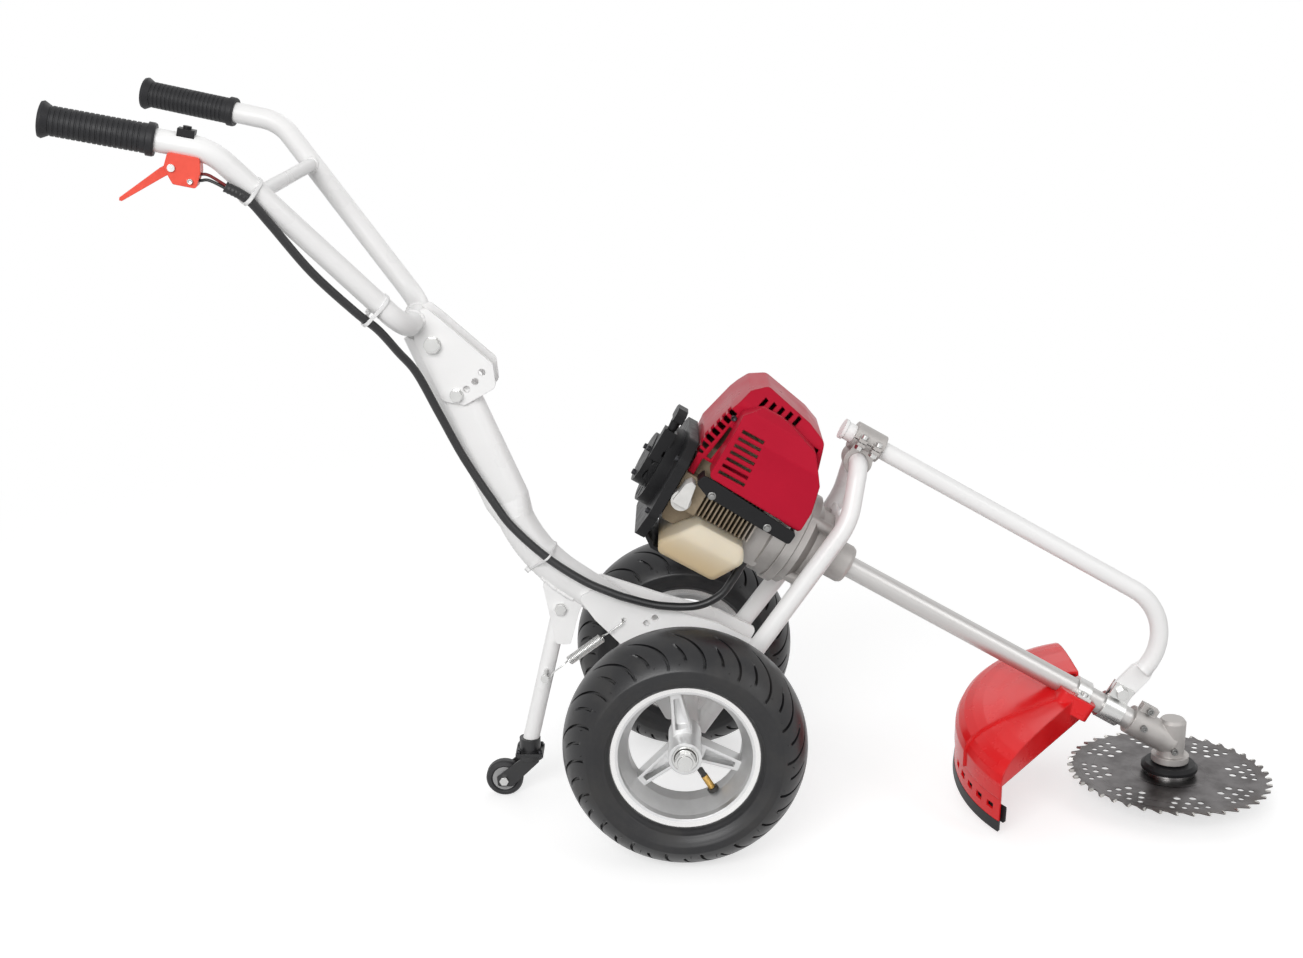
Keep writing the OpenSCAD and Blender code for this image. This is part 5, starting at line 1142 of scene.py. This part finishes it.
class CUTTER_OT_stage(bpy.types.Operator):
    """Set up the floor, the lamps, the sky and the camera"""

    bl_idname = "cutter.stage"
    bl_label = "Stage"

    def execute(self, context):
        scene = context.scene
        chosen = scene.cutter_stage
        scene.view_settings.view_transform = "Standard"
        data = bpy.data.cameras.new("camera")
        data.lens, data.sensor_width, data.sensor_fit = CAMERA_LENS, SENSOR_WIDTH, "HORIZONTAL"
        data.clip_end = CAMERA_REACH
        camera = bpy.data.objects.new("camera", data)
        camera.location = CAMERA_AT
        camera.rotation_euler = (CAMERA_TILT, 0, CAMERA_TURN)
        scene.collection.objects.link(camera)
        scene.camera = camera
        for name, place, power, size in (("key_lamp", (-1.0, -3.1, 1.9), chosen.key_power, 1.8),
                                         ("fill_lamp", (2.3, -1.7, 1.7), chosen.fill_power, 1.4),
                                         ("back_lamp", (0.3, 2.3, 2.4), chosen.back_power, 1.6)):
            lamp = bpy.data.lights.new(name, "AREA")
            lamp.energy, lamp.size = power, size
            obj = bpy.data.objects.new(name, lamp)
            obj.location = place
            obj.rotation_euler = (LAMP_AIM - Vector(place)).to_track_quat("-Z", "Y").to_euler()
            scene.collection.objects.link(obj)
        self.sky(scene, chosen)
        self.floor(chosen)
        return {"FINISHED"}

    @staticmethod
    def seen(tree):
        """1 for rays that show the background: from the eye, from gloss and through glass."""
        path = tree.nodes.new("ShaderNodeLightPath").outputs
        both = reckon(tree, "MAXIMUM", path["Is Camera Ray"], path["Is Glossy Ray"])
        return reckon(tree, "MAXIMUM", both, path["Is Transmission Ray"])

    def sky(self, scene, chosen):
        """Even light, and white wherever the background shows."""
        world = bpy.data.worlds.new("sky")
        world.use_nodes = True
        tree = world.node_tree
        tree.nodes.clear()
        strength = spread(tree, self.seen(tree), 0.0, 1.0, chosen.world_light, 1.0, smooth=False)
        shader = add(tree, "ShaderNodeBackground", {"Color": (1, 1, 1, 1), "Strength": strength})
        tree.links.new(shader.outputs[0], tree.nodes.new("ShaderNodeOutputWorld").inputs[0])
        scene.world = world

    def floor(self, chosen):
        """A pale floor that turns white away from the machine."""
        corners = [(FLOOR_HALF * x, FLOOR_HALF * y, 0) for x, y in ((-1, -1), (1, -1), (1, 1), (-1, 1))]
        mesh = solid("floor", corners, [(0, 1, 2, 3)])
        material = bpy.data.materials.new("pale_floor")
        material.use_nodes = True
        tree = material.node_tree
        tree.nodes.clear()
        matt = add(tree, "ShaderNodeBsdfDiffuse", {"Color": FLOOR_GREY})
        seen = self.seen(tree)
        glow = add(tree, "ShaderNodeEmission", {"Strength": times(tree, seen, chosen.floor_glow)})
        near = add(tree, "ShaderNodeAddShader", {0: matt.outputs[0], 1: glow.outputs[0]})
        far = add(tree, "ShaderNodeEmission", {"Strength": seen})
        away = arrow(tree, "LENGTH", add(tree, "ShaderNodeTexCoord").outputs["Object"])
        both = add(tree, "ShaderNodeMixShader",
                   {0: spread(tree, away, *FLOOR_FADE), 1: near.outputs[0], 2: far.outputs[0]})
        tree.links.new(both.outputs[0], tree.nodes.new("ShaderNodeOutputMaterial").inputs[0])
        return show("floor", mesh, material)


class CUTTER_OT_effects(bpy.types.Operator):
    """Build the shader groups that the finishes share"""

    bl_idname = "cutter.effects"
    bl_label = "Shared effects"

    def execute(self, context):
        for maker in (paint_peel_group, cast_skin_group, brush_lines_group, scuffs_group, worn_edges_group,
                      radius_about_group):
            maker()
        return {"FINISHED"}


class CUTTER_OT_frame(bpy.types.Operator):
    """Paint the tubes and plates, plate the bolts, add the hoop's toes and lay the weld beads"""

    bl_idname = "cutter.frame"
    bl_label = "Frame and welds"

    def execute(self, context):
        paint = white()
        for node in ("main_column", "base_plates", "axle_tube", "engine_hoop", "mount_plate", "handle_tube",
                     "handle_brace", "adjuster_plates", "stand_bracket", "support_bar"):
            coat_node(node, paint)
        coat_node("bar_plug", finish("plug_white", moulded, colours()["frame_white"], rough=0.40, lift=1.1))
        for node in ("axle", "axle_nuts", "pivot_bolt", "lock_screws", "stand_bolt", "clamp_bolts",
                     "bar_foot_clamp"):
            coat_node(node, zinc())
        coat_node("cross_clamp", cast_alloy())
        for side, label in ((-1, "right"), (1, "left")):
            toe = tube(f"hoop_toe_{label}", hoop_toe(side), 2 * HOOP_RADIUS, paint, sides=40, step=0.005)
            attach(toe, "frame")
        sizes = context.scene.cutter_fixings
        for name, body, paths in (("frame_welds", "frame", self.frame_paths()),
                                  ("handle_welds", "handle", self.handle_paths())):
            beads = welds(name, paths, paint, sizes.bead, sizes.ripple, seed=len(name))
            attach(beads, body)
        return {"FINISHED"}

    @staticmethod
    def frame_paths():
        """Welds round the axle tube at the plates, at the hoop's toes and along the column's lower edges."""
        paths = []
        for side in (-1, 1):
            paths.append(ring_round(at(0, side * PLATE_SIDE, AXLE_HEIGHT), ACROSS, PLATE_WELD_RADIUS))
            paths.append(saddle_seam(*hoop_toe(side), HOOP_RADIUS, AXLE_AT, AXLE_TUBE_RADIUS))
        line = smooth_path(rounded_line(*COLUMN, COLUMN_BEND), 6)
        for side in (-1, 1):
            run = []
            for before, point in zip(line, line[1:]):
                heading = (point - before).normalized()
                below = Vector((-heading.z, 0, heading.x))
                below = below if below.z < 0 else -below
                spot = point + below * COLUMN_WELD_DROP + ACROSS * (side * COLUMN_WELD_SIDE)
                if COLUMN_WELD_REAR < spot.x < COLUMN_WELD_FRONT:
                    run.append(spot)
            paths.append(run)
        return [path for path in paths if len(path) > 2]

    @staticmethod
    def handle_paths():
        """Welds where the brace meets the handle's arms, and at the ends of the handle's cross piece."""
        paths = []
        arm = HANDLE_HIGH - HANDLE_LOW
        for side in (-1, 1):
            flip = Vector((1, -side, 1))
            low, run = HANDLE_LOW * flip, arm * flip
            middle = (low + run * BRACE_SHARE) * Vector((1, 0, 1))
            inward = Vector((0, -side, 0))
            paths.append(joint_ring(middle, inward, BRACE_WELD_RADIUS, low, run, ARM_WELD_RADIUS))
            cross = Vector((CROSS_AT.x, side * CROSS_WELD_SIDE, CROSS_AT.z))
            paths.append(ring_round(cross, ACROSS, CROSS_WELD_RADIUS))
        return paths


class CUTTER_OT_tyres(bpy.types.Operator):
    """Build both tyres with their swept tread grooves and moulding nibs"""

    bl_idname = "cutter.tyres"
    bl_label = "Tyres"

    # Counts, and sizes in metres of the section, the grooves and the rings on the wall

    NIBS = 26
    CROWN_STEPS = 46
    SHOULDER = 0.0519
    WALL_STEPS = 18
    WALL_RADIUS = 0.0259
    WALL_HEIGHT = 0.108
    WALL_DROP = 0.0225
    WALL_WAY = 0.064
    WALL_FOOT = 0.0865
    WALL_RINGS = ((0.0915, 0.0007), (0.1030, 0.00034))
    RING_HALF = 0.0011
    BEAD = [(0.0365, 0.0853), (0.0316, 0.0853), (0.0316, 0.0805), (0.0226, 0.0805), (0.0226, 0.0835)]
    CORE_RADIUS = 0.095
    LONG_GROOVE = (0.007, 0.060)
    SHORT_GROOVE = (0.026, 0.052)
    RUN_IN = 0.006
    RUN_OUT = 0.008
    LIP = 0.0003
    BORDER = 0.0012
    LIP_SLOPE = 0.0005

    def execute(self, context):
        sizes = context.scene.cutter_tyre
        for side in ("right", "left"):
            rubber = finish(f"tyre_rubber_{side}", tyre_rubber, side, colours()["rubber"])
            mesh = self.tread(sizes, WHEEL_AT[side])
            tyre = show(f"tread_{side}", mesh, rubber)
            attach(tyre, f"{side}_wheel")
            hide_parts(f"tyre_{side}")
            nibs = items(f"tyre_nibs_{side}", self.nib(), self.nib_places(WHEEL_AT[side]), rubber)
            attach(nibs, f"{side}_wheel")
        return {"FINISHED"}

    @staticmethod
    def nib():
        """Thin rubber hair left by the mould's vents."""
        return lathe([(0.00065, -0.0004), (0.0005, 0.0006), (0.0003, 0.0021), (0.0002, 0.0022)], 6, "nib")

    def nib_places(self, centre):
        """Places on both side walls, every third one nearer to the shoulder."""
        places = []
        for side in (-1, 1):
            for k in range(self.NIBS):
                t = 2 * math.pi * (k + 0.25 * side) / self.NIBS
                out = Vector((math.cos(t), 0, math.sin(t)))
                radius, across, lean = (0.1166, 0.0475, 0.5) if k % 3 else (0.1215, 0.0430, 1.0)
                places.append((centre + out * radius + ACROSS * side * across,
                               (out + ACROSS * side * lean).normalized()))
        return places

    def outline(self, sizes):
        """Half of the cross-section from the crown to the bead, as (way from the crown, across, radius)."""
        crown, wall = sizes.crown_radius, self.WALL_RADIUS
        low = sizes.outer_radius - crown
        edge = math.asin(self.SHOULDER / crown)
        turns = [edge * i / self.CROWN_STEPS for i in range(self.CROWN_STEPS + 1)]
        points = [(crown * math.sin(t), low + crown * math.cos(t)) for t in turns]
        start = math.asin(max(points[-1][1] - self.WALL_HEIGHT, 0.0) / wall)
        end = -math.asin(self.WALL_DROP / wall)
        middle = sizes.half_width - wall
        for i in range(1, self.WALL_STEPS + 1):
            t = start + (end - start) * i / self.WALL_STEPS
            points.append((middle + wall * math.cos(t), self.WALL_HEIGHT + wall * math.sin(t)))
        points += self.BEAD
        way = [0.0]
        for a, b in zip(points, points[1:]):
            way.append(way[-1] + math.dist(a, b))
        return np.array([(w, y, r) for w, (y, r) in zip(way, points)])

    def tread(self, sizes, centre):
        """The whole tyre: long and short grooves by turns on each shoulder, and rings on the walls."""
        half = self.outline(sizes)
        pitch = 2 * math.pi * sizes.outer_radius / sizes.grooves
        w = sizes.groove_width / 2
        steps = np.array([-w - self.BORDER, -w - self.LIP, -w + self.LIP, -w * 0.4,
                          w * 0.4, w - self.LIP, w + self.LIP, w + self.BORDER])
        fill = np.linspace(w + self.BORDER, pitch / 2 - w - self.BORDER, 7)[1:-1]
        columns = np.concatenate([steps, fill, pitch / 2 + steps, pitch / 2 + fill])
        columns = np.concatenate([columns + k * pitch for k in range(sizes.grooves)])
        rows = np.concatenate([half[::-1] * (-1, -1, 1), half[1:]])
        way, across, radius = rows.T
        shift = self.swept(np.abs(way), sizes.sweep)
        depth = np.zeros((len(rows), len(columns)))
        for phase in (0.0, 0.5):
            gap = np.abs((columns / pitch - phase + 0.5) % 1 - 0.5) * pitch
            cut = np.clip((w - gap) / self.LIP_SLOPE + 0.5, 0, 1)
            for side in (-1, 1):
                start, end = self.LONG_GROOVE if (phase == 0.0) == (side > 0) else self.SHORT_GROOVE
                s = side * way
                ends = np.clip((s - start) / self.RUN_IN, 0, 1) * np.clip((end - s) / self.RUN_OUT, 0, 1)
                depth = np.maximum(depth, np.outer(ends * (3 - 2 * ends) * ends, cut) * sizes.groove_depth)
        wall = (np.abs(way) > self.WALL_WAY) & (radius > self.WALL_FOOT)
        lift = np.zeros(len(rows))
        for ring, height in self.WALL_RINGS:
            lift += np.where(wall & (np.abs(radius - ring) < self.RING_HALF), height, 0.0)
        normal = np.stack([np.gradient(radius), -np.gradient(across)], 1)
        normal /= np.linalg.norm(normal, axis=1)[:, None] + 1e-12
        outward = np.sign(normal[:, 0] * across + normal[:, 1] * (radius - self.CORE_RADIUS))
        normal *= np.where(outward == 0, 1, outward)[:, None]
        move = lift[:, None] - depth
        y = across[:, None] + normal[:, :1] * move
        r = radius[:, None] + normal[:, 1:] * move
        angle = (columns[None, :] + shift[:, None]) / sizes.outer_radius
        points = np.stack([centre.x + r * np.sin(angle), centre.y + y, centre.z + r * np.cos(angle)], -1)
        n, m = points.shape[:2]
        grid = np.arange(n * m).reshape(n, m)
        below = np.roll(grid, -1, axis=0)
        quads = np.stack([grid, np.roll(grid, -1, 1), np.roll(below, -1, 1), below], -1).reshape(-1, 4)
        mesh = solid("tread", points.reshape(-1, 3), [tuple(q) for q in quads.tolist()], sharp=50)
        return outwards(mesh)

    @staticmethod
    def swept(way, sweep):
        """How far forward a groove has run at a distance from the crown."""
        s = np.clip((way - 0.004) / 0.054, 0, 1)
        return sweep * (1 - (1 - s) ** 2)


class CUTTER_OT_wheels(bpy.types.Operator):
    """Finish the rims, bearings and valves"""

    bl_idname = "cutter.wheels"
    bl_label = "Rims, bearings and valves"

    def execute(self, context):
        for side in ("right", "left"):
            coat_node(f"rim_{side}", finish(f"rim_silver_{side}", rim_alloy, side))
            coat_node(f"bearings_{side}", finish(f"bearing_{side}", bearing_steel, side))
            coat_node(f"valve_{side}", finish(f"valve_{side}", valve_brass, side))
        return {"FINISHED"}


class CUTTER_OT_handle(bpy.types.Operator):
    """Finish the grips and the throttle"""

    bl_idname = "cutter.handle"
    bl_label = "Grips and throttle"

    def execute(self, context):
        found = colours()
        coat_node("grips", finish("ribbed_grip", moulded, scaled(found["rubber"], 1.3), rough=0.50,
                                  grain=1500.0, relief=0.00003, edge=0.0007, lift=2.6))
        orange = finish("lever_orange", moulded, found["lever_orange"], rough=0.34, grain=1600.0,
                        edge=0.0012, lift=1.12, edge_share=0.6)
        coat_node("throttle_housing", orange)
        coat_node("throttle_lever", orange)
        coat_node("throttle_pin", zinc())
        coat_node("throttle_clamp", black_plastic())
        coat_node("cable_ties", nylon())
        return {"FINISHED"}


class CUTTER_OT_cable(bpy.types.Operator):
    """Run the throttle cable, its two leads and the tie on the column"""

    bl_idname = "cutter.cable"
    bl_label = "Throttle cable"

    # Points of the smoothed route, and how far the wrap makes the sleeve thicker

    PER_STEP = 8
    SLEEVE_FROM = 18
    WRAP_FROM = 16
    WRAP_TO = 25
    WRAP_EXTRA = 0.0014

    def execute(self, context):
        sizes = context.scene.cutter_cable
        black = finish("sleeve_plastic", sleeve_plastic, colours()["black"])
        path = smooth_path(CABLE_ROUTE, self.PER_STEP)
        sleeve = tube("cable_sleeve", path[self.SLEEVE_FROM:], sizes.sleeve, black, sides=18, step=0.0016)
        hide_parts("throttle_cable")
        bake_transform(sleeve)
        wrap = tube("cable_wrap", path[self.WRAP_FROM:self.WRAP_TO], sizes.sleeve + self.WRAP_EXTRA, black,
                    sides=18, step=0.0012, pitch=0.0042, rib=0.00028)
        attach(wrap, "handle")
        red = finish("lead_red", moulded, (0.16, 0.012, 0.012), rough=0.40, edge=0.0004, lift=1.4)
        first, second, third, fourth = CABLE_ROUTE[:4]
        for name, lift, material in (("upper_lead", 0.0036, red), ("lower_lead", -0.0030, black)):
            run = [first + Vector((-0.006, 0, lift)), first + Vector((0.004, 0, lift)),
                   second + Vector((0.002, 0, lift * 0.8)), third + Vector((0, 0, lift * 0.5)),
                   third + (fourth - third) * 0.5 + Vector((0, 0, lift * 0.35))]
            lead = tube(name, smooth_path(run, self.PER_STEP), sizes.lead, material, sides=10, step=0.0012)
            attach(lead, "handle")
        self.column_tie()
        return {"FINISHED"}

    @staticmethod
    def column_tie():
        """A thin strap round the column and the cable, with its lock."""
        cable = CABLE_ROUTE[14]
        line = smooth_path(rounded_line(*COLUMN, COLUMN_BEND), 10)
        near = min(range(1, len(line) - 1), key=lambda i: (line[i] - Vector((cable.x, 0, cable.z))).length)
        heading = (line[near + 1] - line[near - 1]).normalized()
        centre = line[near]
        v = cable - centre
        v = v - heading * v.dot(heading)
        gap = v.length
        v.normalize()
        u = heading.cross(v)
        big, small = 0.0223, 0.0053
        long_way, short_way = 72, 24
        half_width, thick = 0.0012, 0.0010
        reach = math.acos((big - small) / gap)
        outline = []
        for i in range(long_way):
            t = reach + (2 * math.pi - 2 * reach) * i / (long_way - 1)
            outline.append((big * math.cos(t), big * math.sin(t)))
        for i in range(short_way):
            t = -reach + 2 * reach * i / (short_way - 1)
            outline.append((gap + small * math.cos(t), small * math.sin(t)))
        middle = np.mean(outline, axis=0)
        verts, faces = [], []
        for across, out in ((-half_width, 0.0), (half_width, 0.0), (half_width, thick), (-half_width, thick)):
            for p in outline:
                away = np.array(p) - middle
                q = np.array(p) + away / np.linalg.norm(away) * out
                verts.append(centre + v * q[0] + u * q[1] + heading * across)
        total = len(outline)
        for k in range(4):
            row, after = k * total, (k + 1) % 4 * total
            for i in range(total):
                j = (i + 1) % total
                faces.append((row + i, row + j, after + j, after + i))
        lock = centre + u * (big + 0.0022)
        section = ((-0.0024, -0.0030), (0.0024, -0.0030), (0.0030, 0.0),
                   (0.0018, 0.0030), (-0.0018, 0.0030), (-0.0030, 0.0))
        first = len(verts)
        for a in (-0.0030, 0.0030):
            verts += [lock + heading * a + u * b + v * c for b, c in section]
        low, high = range(first, first + 6), range(first + 6, first + 12)
        faces += [(low[i], low[(i + 1) % 6], high[(i + 1) % 6], high[i]) for i in range(6)]
        faces += [tuple(reversed(low)), tuple(high)]
        tie = show("column_tie", solid("column_tie", verts, faces), nylon())
        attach(tie, "frame")


class CUTTER_OT_stand(bpy.types.Operator):
    """Wind the stand's spring and finish the caster"""

    bl_idname = "cutter.stand"
    bl_label = "Stand, spring and caster"

    def execute(self, context):
        found = colours()
        sizes = context.scene.cutter_spring
        wire = finish("spring_wire", plated, (0.66, 0.66, 0.65), rough=0.20)
        spring = tube("spring_wire", self.path(sizes), sizes.wire, wire, sides=10, step=0.0009)
        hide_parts("stand_spring")
        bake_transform(spring)
        coat_node("stand_leg", finish("leg_white_and_black", leg_paint, found["frame_white"], found["black"],
                                      found["steel"]))
        coat_node("caster_fork", finish("fork_black", painted, (0.020, 0.020, 0.021), rough=0.34))
        coat_node("caster_axle", zinc())
        coat_node("caster_wheel", finish("caster_tread", caster_tread, found["rubber"]))
        return {"FINISHED"}

    @staticmethod
    def path(sizes):
        """Hook, curls and hook, from the leg's stud to the frame's hole."""
        foot, top = SPRING_ENDS
        along = (top - foot).normalized()
        up = Vector((-along.z, 0, along.x))
        span = (top - foot).length
        body = sizes.curls * sizes.pitch
        start = (span - body) / 2 + 0.0015
        end = start + body
        hook = 0.0041
        bend = [math.radians(t) for t in range(70, 291, 20)]
        points = [(hook * math.cos(t), 0, hook * math.sin(t)) for t in bend]
        points += [(hook + 0.003, 0, -0.0024), (hook + 0.009, 0, -0.0004),
                   (start - 0.010, 0, 0), (start - 0.004, 0.0020, 0.0005)]
        per, radius = 24, sizes.coil / 2
        for i in range(sizes.curls * per + 1):
            t = 2 * math.pi * i / per
            points.append((start + i * sizes.pitch / per, radius * math.cos(t), radius * math.sin(t)))
        points += [(end + 0.004, 0.0020, 0.0005), (end + 0.010, 0, 0), (span - 0.0060, 0, 0),
                   (span - 0.0022, 0.0008, 0), (span - 0.0018, 0.0030, 0), (span - 0.0018, 0.0085, 0)]
        return smooth_path([foot + along * x + ACROSS * y + up * z for x, y, z in points], 2)


class CUTTER_OT_engine(bpy.types.Operator):
    """Finish the engine and add its starter rope and air cleaner knob"""

    bl_idname = "cutter.engine"
    bl_label = "Engine"

    def execute(self, context):
        found = colours()
        sizes = context.scene.cutter_cable
        red = finish("cover_red", moulded, found["cover_red"], rough=0.32, grain=260.0, relief=0.000004,
                     edge=0.0026, lift=1.25, shine=0.08, edge_share=0.3)
        for node in ("top_cover", "muffler_cover"):
            coat_node(node, red)
        for node in ("lower_shroud", "air_cleaner", "starter_housing", "starter_grip", "fuel_cap"):
            coat_node(node, black_plastic())
        coat_node("engine_block", finish("engine_casting", engine_casting, found["cast_grey"]))
        coat_node("clutch_housing", cast_alloy())
        coat_node("clutch_rotor", zinc())
        coat_node("oil_filler", finish("filler_grey", moulded, found["pale_grey"], rough=0.36, lift=1.15))
        coat_node("fuel_tank", finish("milky_tank", tank_plastic, found["tank_cream"]))
        rope = tube("starter_rope", [on_drive(-284, -29, w) for w in (12, 20, 30, 40, 50, 56)], sizes.rope,
                    finish("rope_braid", rope_braid), sides=12, step=0.0004)
        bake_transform(rope)
        self.knob()
        return {"FINISHED"}

    @staticmethod
    def knob():
        """Lobed knob on the air cleaner's cover."""
        def lobed(r):
            return lambda t: r * (1 + 0.10 * math.cos(6 * t))

        shape = lathe([(0.008, 0), (0.008, 0.003), (lobed(0.0125), 0.0032), (lobed(0.0132), 0.0045),
                       (lobed(0.0132), 0.0115), (lobed(0.0120), 0.0130), (0.0080, 0.0134),
                       (0.0070, 0.0122), (0.0010, 0.0120)], 72, "knob")
        place = (on_drive(-190, 105.2, 50), ACROSS)
        knob = items("air_cleaner_knob", shape, [place], black_plastic(), turn=0.0)
        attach(knob, "frame")


class CUTTER_OT_drive(bpy.types.Operator):
    """Finish the drive tube, gear case and spindle, and tip the blade's teeth"""

    bl_idname = "cutter.drive"
    bl_label = "Drive and blade"

    # Number of teeth, a tip's place in its share of the turn, and its foot below the rim in metres

    TEETH = 40
    TIP_SHARE = 0.93
    TIP_INSET = 0.0065

    def execute(self, context):
        coat_node("drive_tube", finish("drawn_tube", drawn_tube, (0.56, 0.55, 0.54)))
        coat_node("drive_shaft", zinc())
        coat_node("gear_case", cast_alloy())
        coat_node("spindle", zinc())
        coat_node("dust_collar", black_plastic())
        coat_node("blade", finish("ground_blade", blade_steel))
        low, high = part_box("blade")
        middle = (low + high) / 2
        foot = (high.x - low.x) / 2 - self.TIP_INSET
        places = []
        for i in range(self.TEETH):
            t = math.radians((i + self.TIP_SHARE) * 360 / self.TEETH)
            out = Vector((math.cos(t), math.sin(t), 0))
            places.append((middle + out * foot, out))
        carbide = finish("carbide", plated, (0.50, 0.49, 0.47), rough=0.34)
        tips = items("blade_tips", self.tip(), places, carbide, turn=0.0)
        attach(tips, "cutter")
        return {"FINISHED"}

    @staticmethod
    def tip():
        """Small ground block with chamfered edges, standing along Z."""
        rings = [(0.0011, 0.0), (0.0014, 0.0004), (0.0014, 0.0058), (0.0011, 0.0062)]
        square = [(lambda t, r=r: r / max(abs(math.cos(t)), abs(math.sin(t))), z) for r, z in rings]
        return lathe(square, 8, "tip")


class CUTTER_OT_guard(bpy.types.Operator):
    """Finish the guard and its strap, and line the skirt"""

    bl_idname = "cutter.guard"
    bl_label = "Guard"

    def execute(self, context):
        found = colours()
        coat_node("guard_shell", finish("guard_red", moulded, found["guard_red"], rough=0.24, grain=260.0,
                                        relief=0.000005, edge=0.0030, lift=1.2, shine=0.34, edge_share=0.3))
        coat_node("guard_skirt", finish("skirt_red_and_black", skirt_plastic, found["guard_red"],
                                        found["black"]))
        coat_node("guard_bracket", zinc())
        liner = show("skirt_liner", self.liner(), black_plastic())
        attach(liner, "frame")
        return {"FINISHED"}

    @staticmethod
    def liner():
        """Black strip behind the skirt's slots, with a bead along its upper edge."""
        turn = Matrix.Rotation(GUARD_PITCH, 4, "Y") @ Matrix.Rotation(GUARD_ROLL, 4, "X")
        section = ((0.1700, -0.0640), (0.1745, -0.0640), (0.1722, -0.0600), (0.1706, -0.0475),
                   (0.1704, -0.0440), (0.1694, -0.0428), (0.1684, -0.0440), (0.1684, -0.0475))
        axis_x, axis_y = 0.010, -0.032
        first_angle, arc, count = 178, 40, 60
        verts, faces = [], []
        for i in range(count + 1):
            t = math.radians(first_angle + arc * i / count)
            for r, z in section:
                own = Vector((axis_x + r * math.cos(t), axis_y + r * math.sin(t), z))
                verts.append(GUARD_AT + turn @ own)
        n = len(section)
        for i in range(count):
            for k in range(n):
                j = (k + 1) % n
                faces.append((i * n + k, i * n + j, (i + 1) * n + j, (i + 1) * n + k))
        faces += [tuple(range(n - 1, -1, -1)), tuple(count * n + k for k in range(n))]
        return outwards(solid("liner", verts, faces, sharp=40))


class CUTTER_OT_screws(bpy.types.Operator):
    """Set the small screws on the engine, the gear case, the throttle and the caster plate"""

    bl_idname = "cutter.screws"
    bl_label = "Screws"

    def execute(self, context):
        sizes = context.scene.cutter_fixings
        right, rear = -ACROSS, -DRIVE_DIR
        hexes = [(on_drive(-213, -91, 17.5), right), (on_drive(-139, -91, 15.5), right)]
        dark = [(on_drive(-264, y, w), rear) for y, w in ((-66, -40), (66, -40), (-64, 30), (62, 30))]
        dark += [(on_drive(-293, 22 * math.cos(t), -1 + 22 * math.sin(t)), rear) for t in (0.3, 2.4, 4.5)]
        dark.append((on_drive(-232, -58.2, 103), right))
        caps = [(on_drive(404, -6, 22), right), (on_drive(404, 6, 22), ACROSS)]
        caps += [(on_drive(404, -17.6, 2), right), (GEAR_AT + Vector((0, -0.0162, -0.006)), right)]
        throttle_side = (on_throttle(0, -1, 0) - on_throttle(0, 0, 0)).normalized()
        plate = [(at(-190.891 + x, y, 60), Vector((0, 0, 1))) for x in (-13, 13) for y in (-13, 13)]
        blued = finish("blued_steel", plated, (0.055, 0.055, 0.06), rough=0.34)
        dull = finish("dull_bolts", plated, (0.26, 0.26, 0.255), rough=0.38)
        groups = (("engine_bolts", "frame", hex_head(sizes.hex_flats), hexes, dull),
                  ("starter_screws", "frame", cap_head(sizes.cap_width * 0.8), dark, blued),
                  ("cap_screws", "frame", cap_head(sizes.cap_width), caps, dull),
                  ("throttle_screw", "handle", cap_head(0.006),
                   [(on_throttle(27, -12, -34), throttle_side)], zinc()),
                  ("caster_plate_screws", "stand", cap_head(0.0058), plate, blued))
        for name, body, shape, places, metal in groups:
            screws = items(name, shape, places, metal)
            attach(screws, body)
        return {"FINISHED"}


STEPS = (
    CUTTER_OT_effects, CUTTER_OT_stage, CUTTER_OT_frame, CUTTER_OT_tyres, CUTTER_OT_wheels, CUTTER_OT_handle,
    CUTTER_OT_cable, CUTTER_OT_stand, CUTTER_OT_engine, CUTTER_OT_drive, CUTTER_OT_guard, CUTTER_OT_screws,
)


class VIEW3D_PT_brush_cutter(bpy.types.Panel):
    """Settings and steps of the brush cutter"""

    bl_label = "Brush Cutter"
    bl_space_type = "VIEW_3D"
    bl_region_type = "UI"
    bl_category = "Brush Cutter"

    def draw(self, context):
        for step in STEPS:
            self.layout.operator(step.bl_idname)
        for name, group in SETTINGS.items():
            box = self.layout.box()
            box.label(text=group.__doc__.split(",")[0].rstrip("."))
            for field in group.__annotations__:
                box.prop(getattr(context.scene, name), field)


CLASSES = (*SETTINGS.values(), *STEPS, VIEW3D_PT_brush_cutter)


def register():
    """Registers the classes and puts the settings on the scene."""
    for cls in CLASSES:
        bpy.utils.register_class(cls)
    for name, group in SETTINGS.items():
        setattr(bpy.types.Scene, name, PointerProperty(type=group))


def unregister():
    """Takes the settings and the classes away again."""
    for name in SETTINGS:
        delattr(bpy.types.Scene, name)
    for cls in reversed(CLASSES):
        bpy.utils.unregister_class(cls)


def main():
    """Builds everything in order."""
    register()
    for step in STEPS:
        space, name = step.bl_idname.split(".")
        getattr(getattr(bpy.ops, space), name)()
    bpy.context.view_layer.update()


if __name__ == "__main__":
    main()
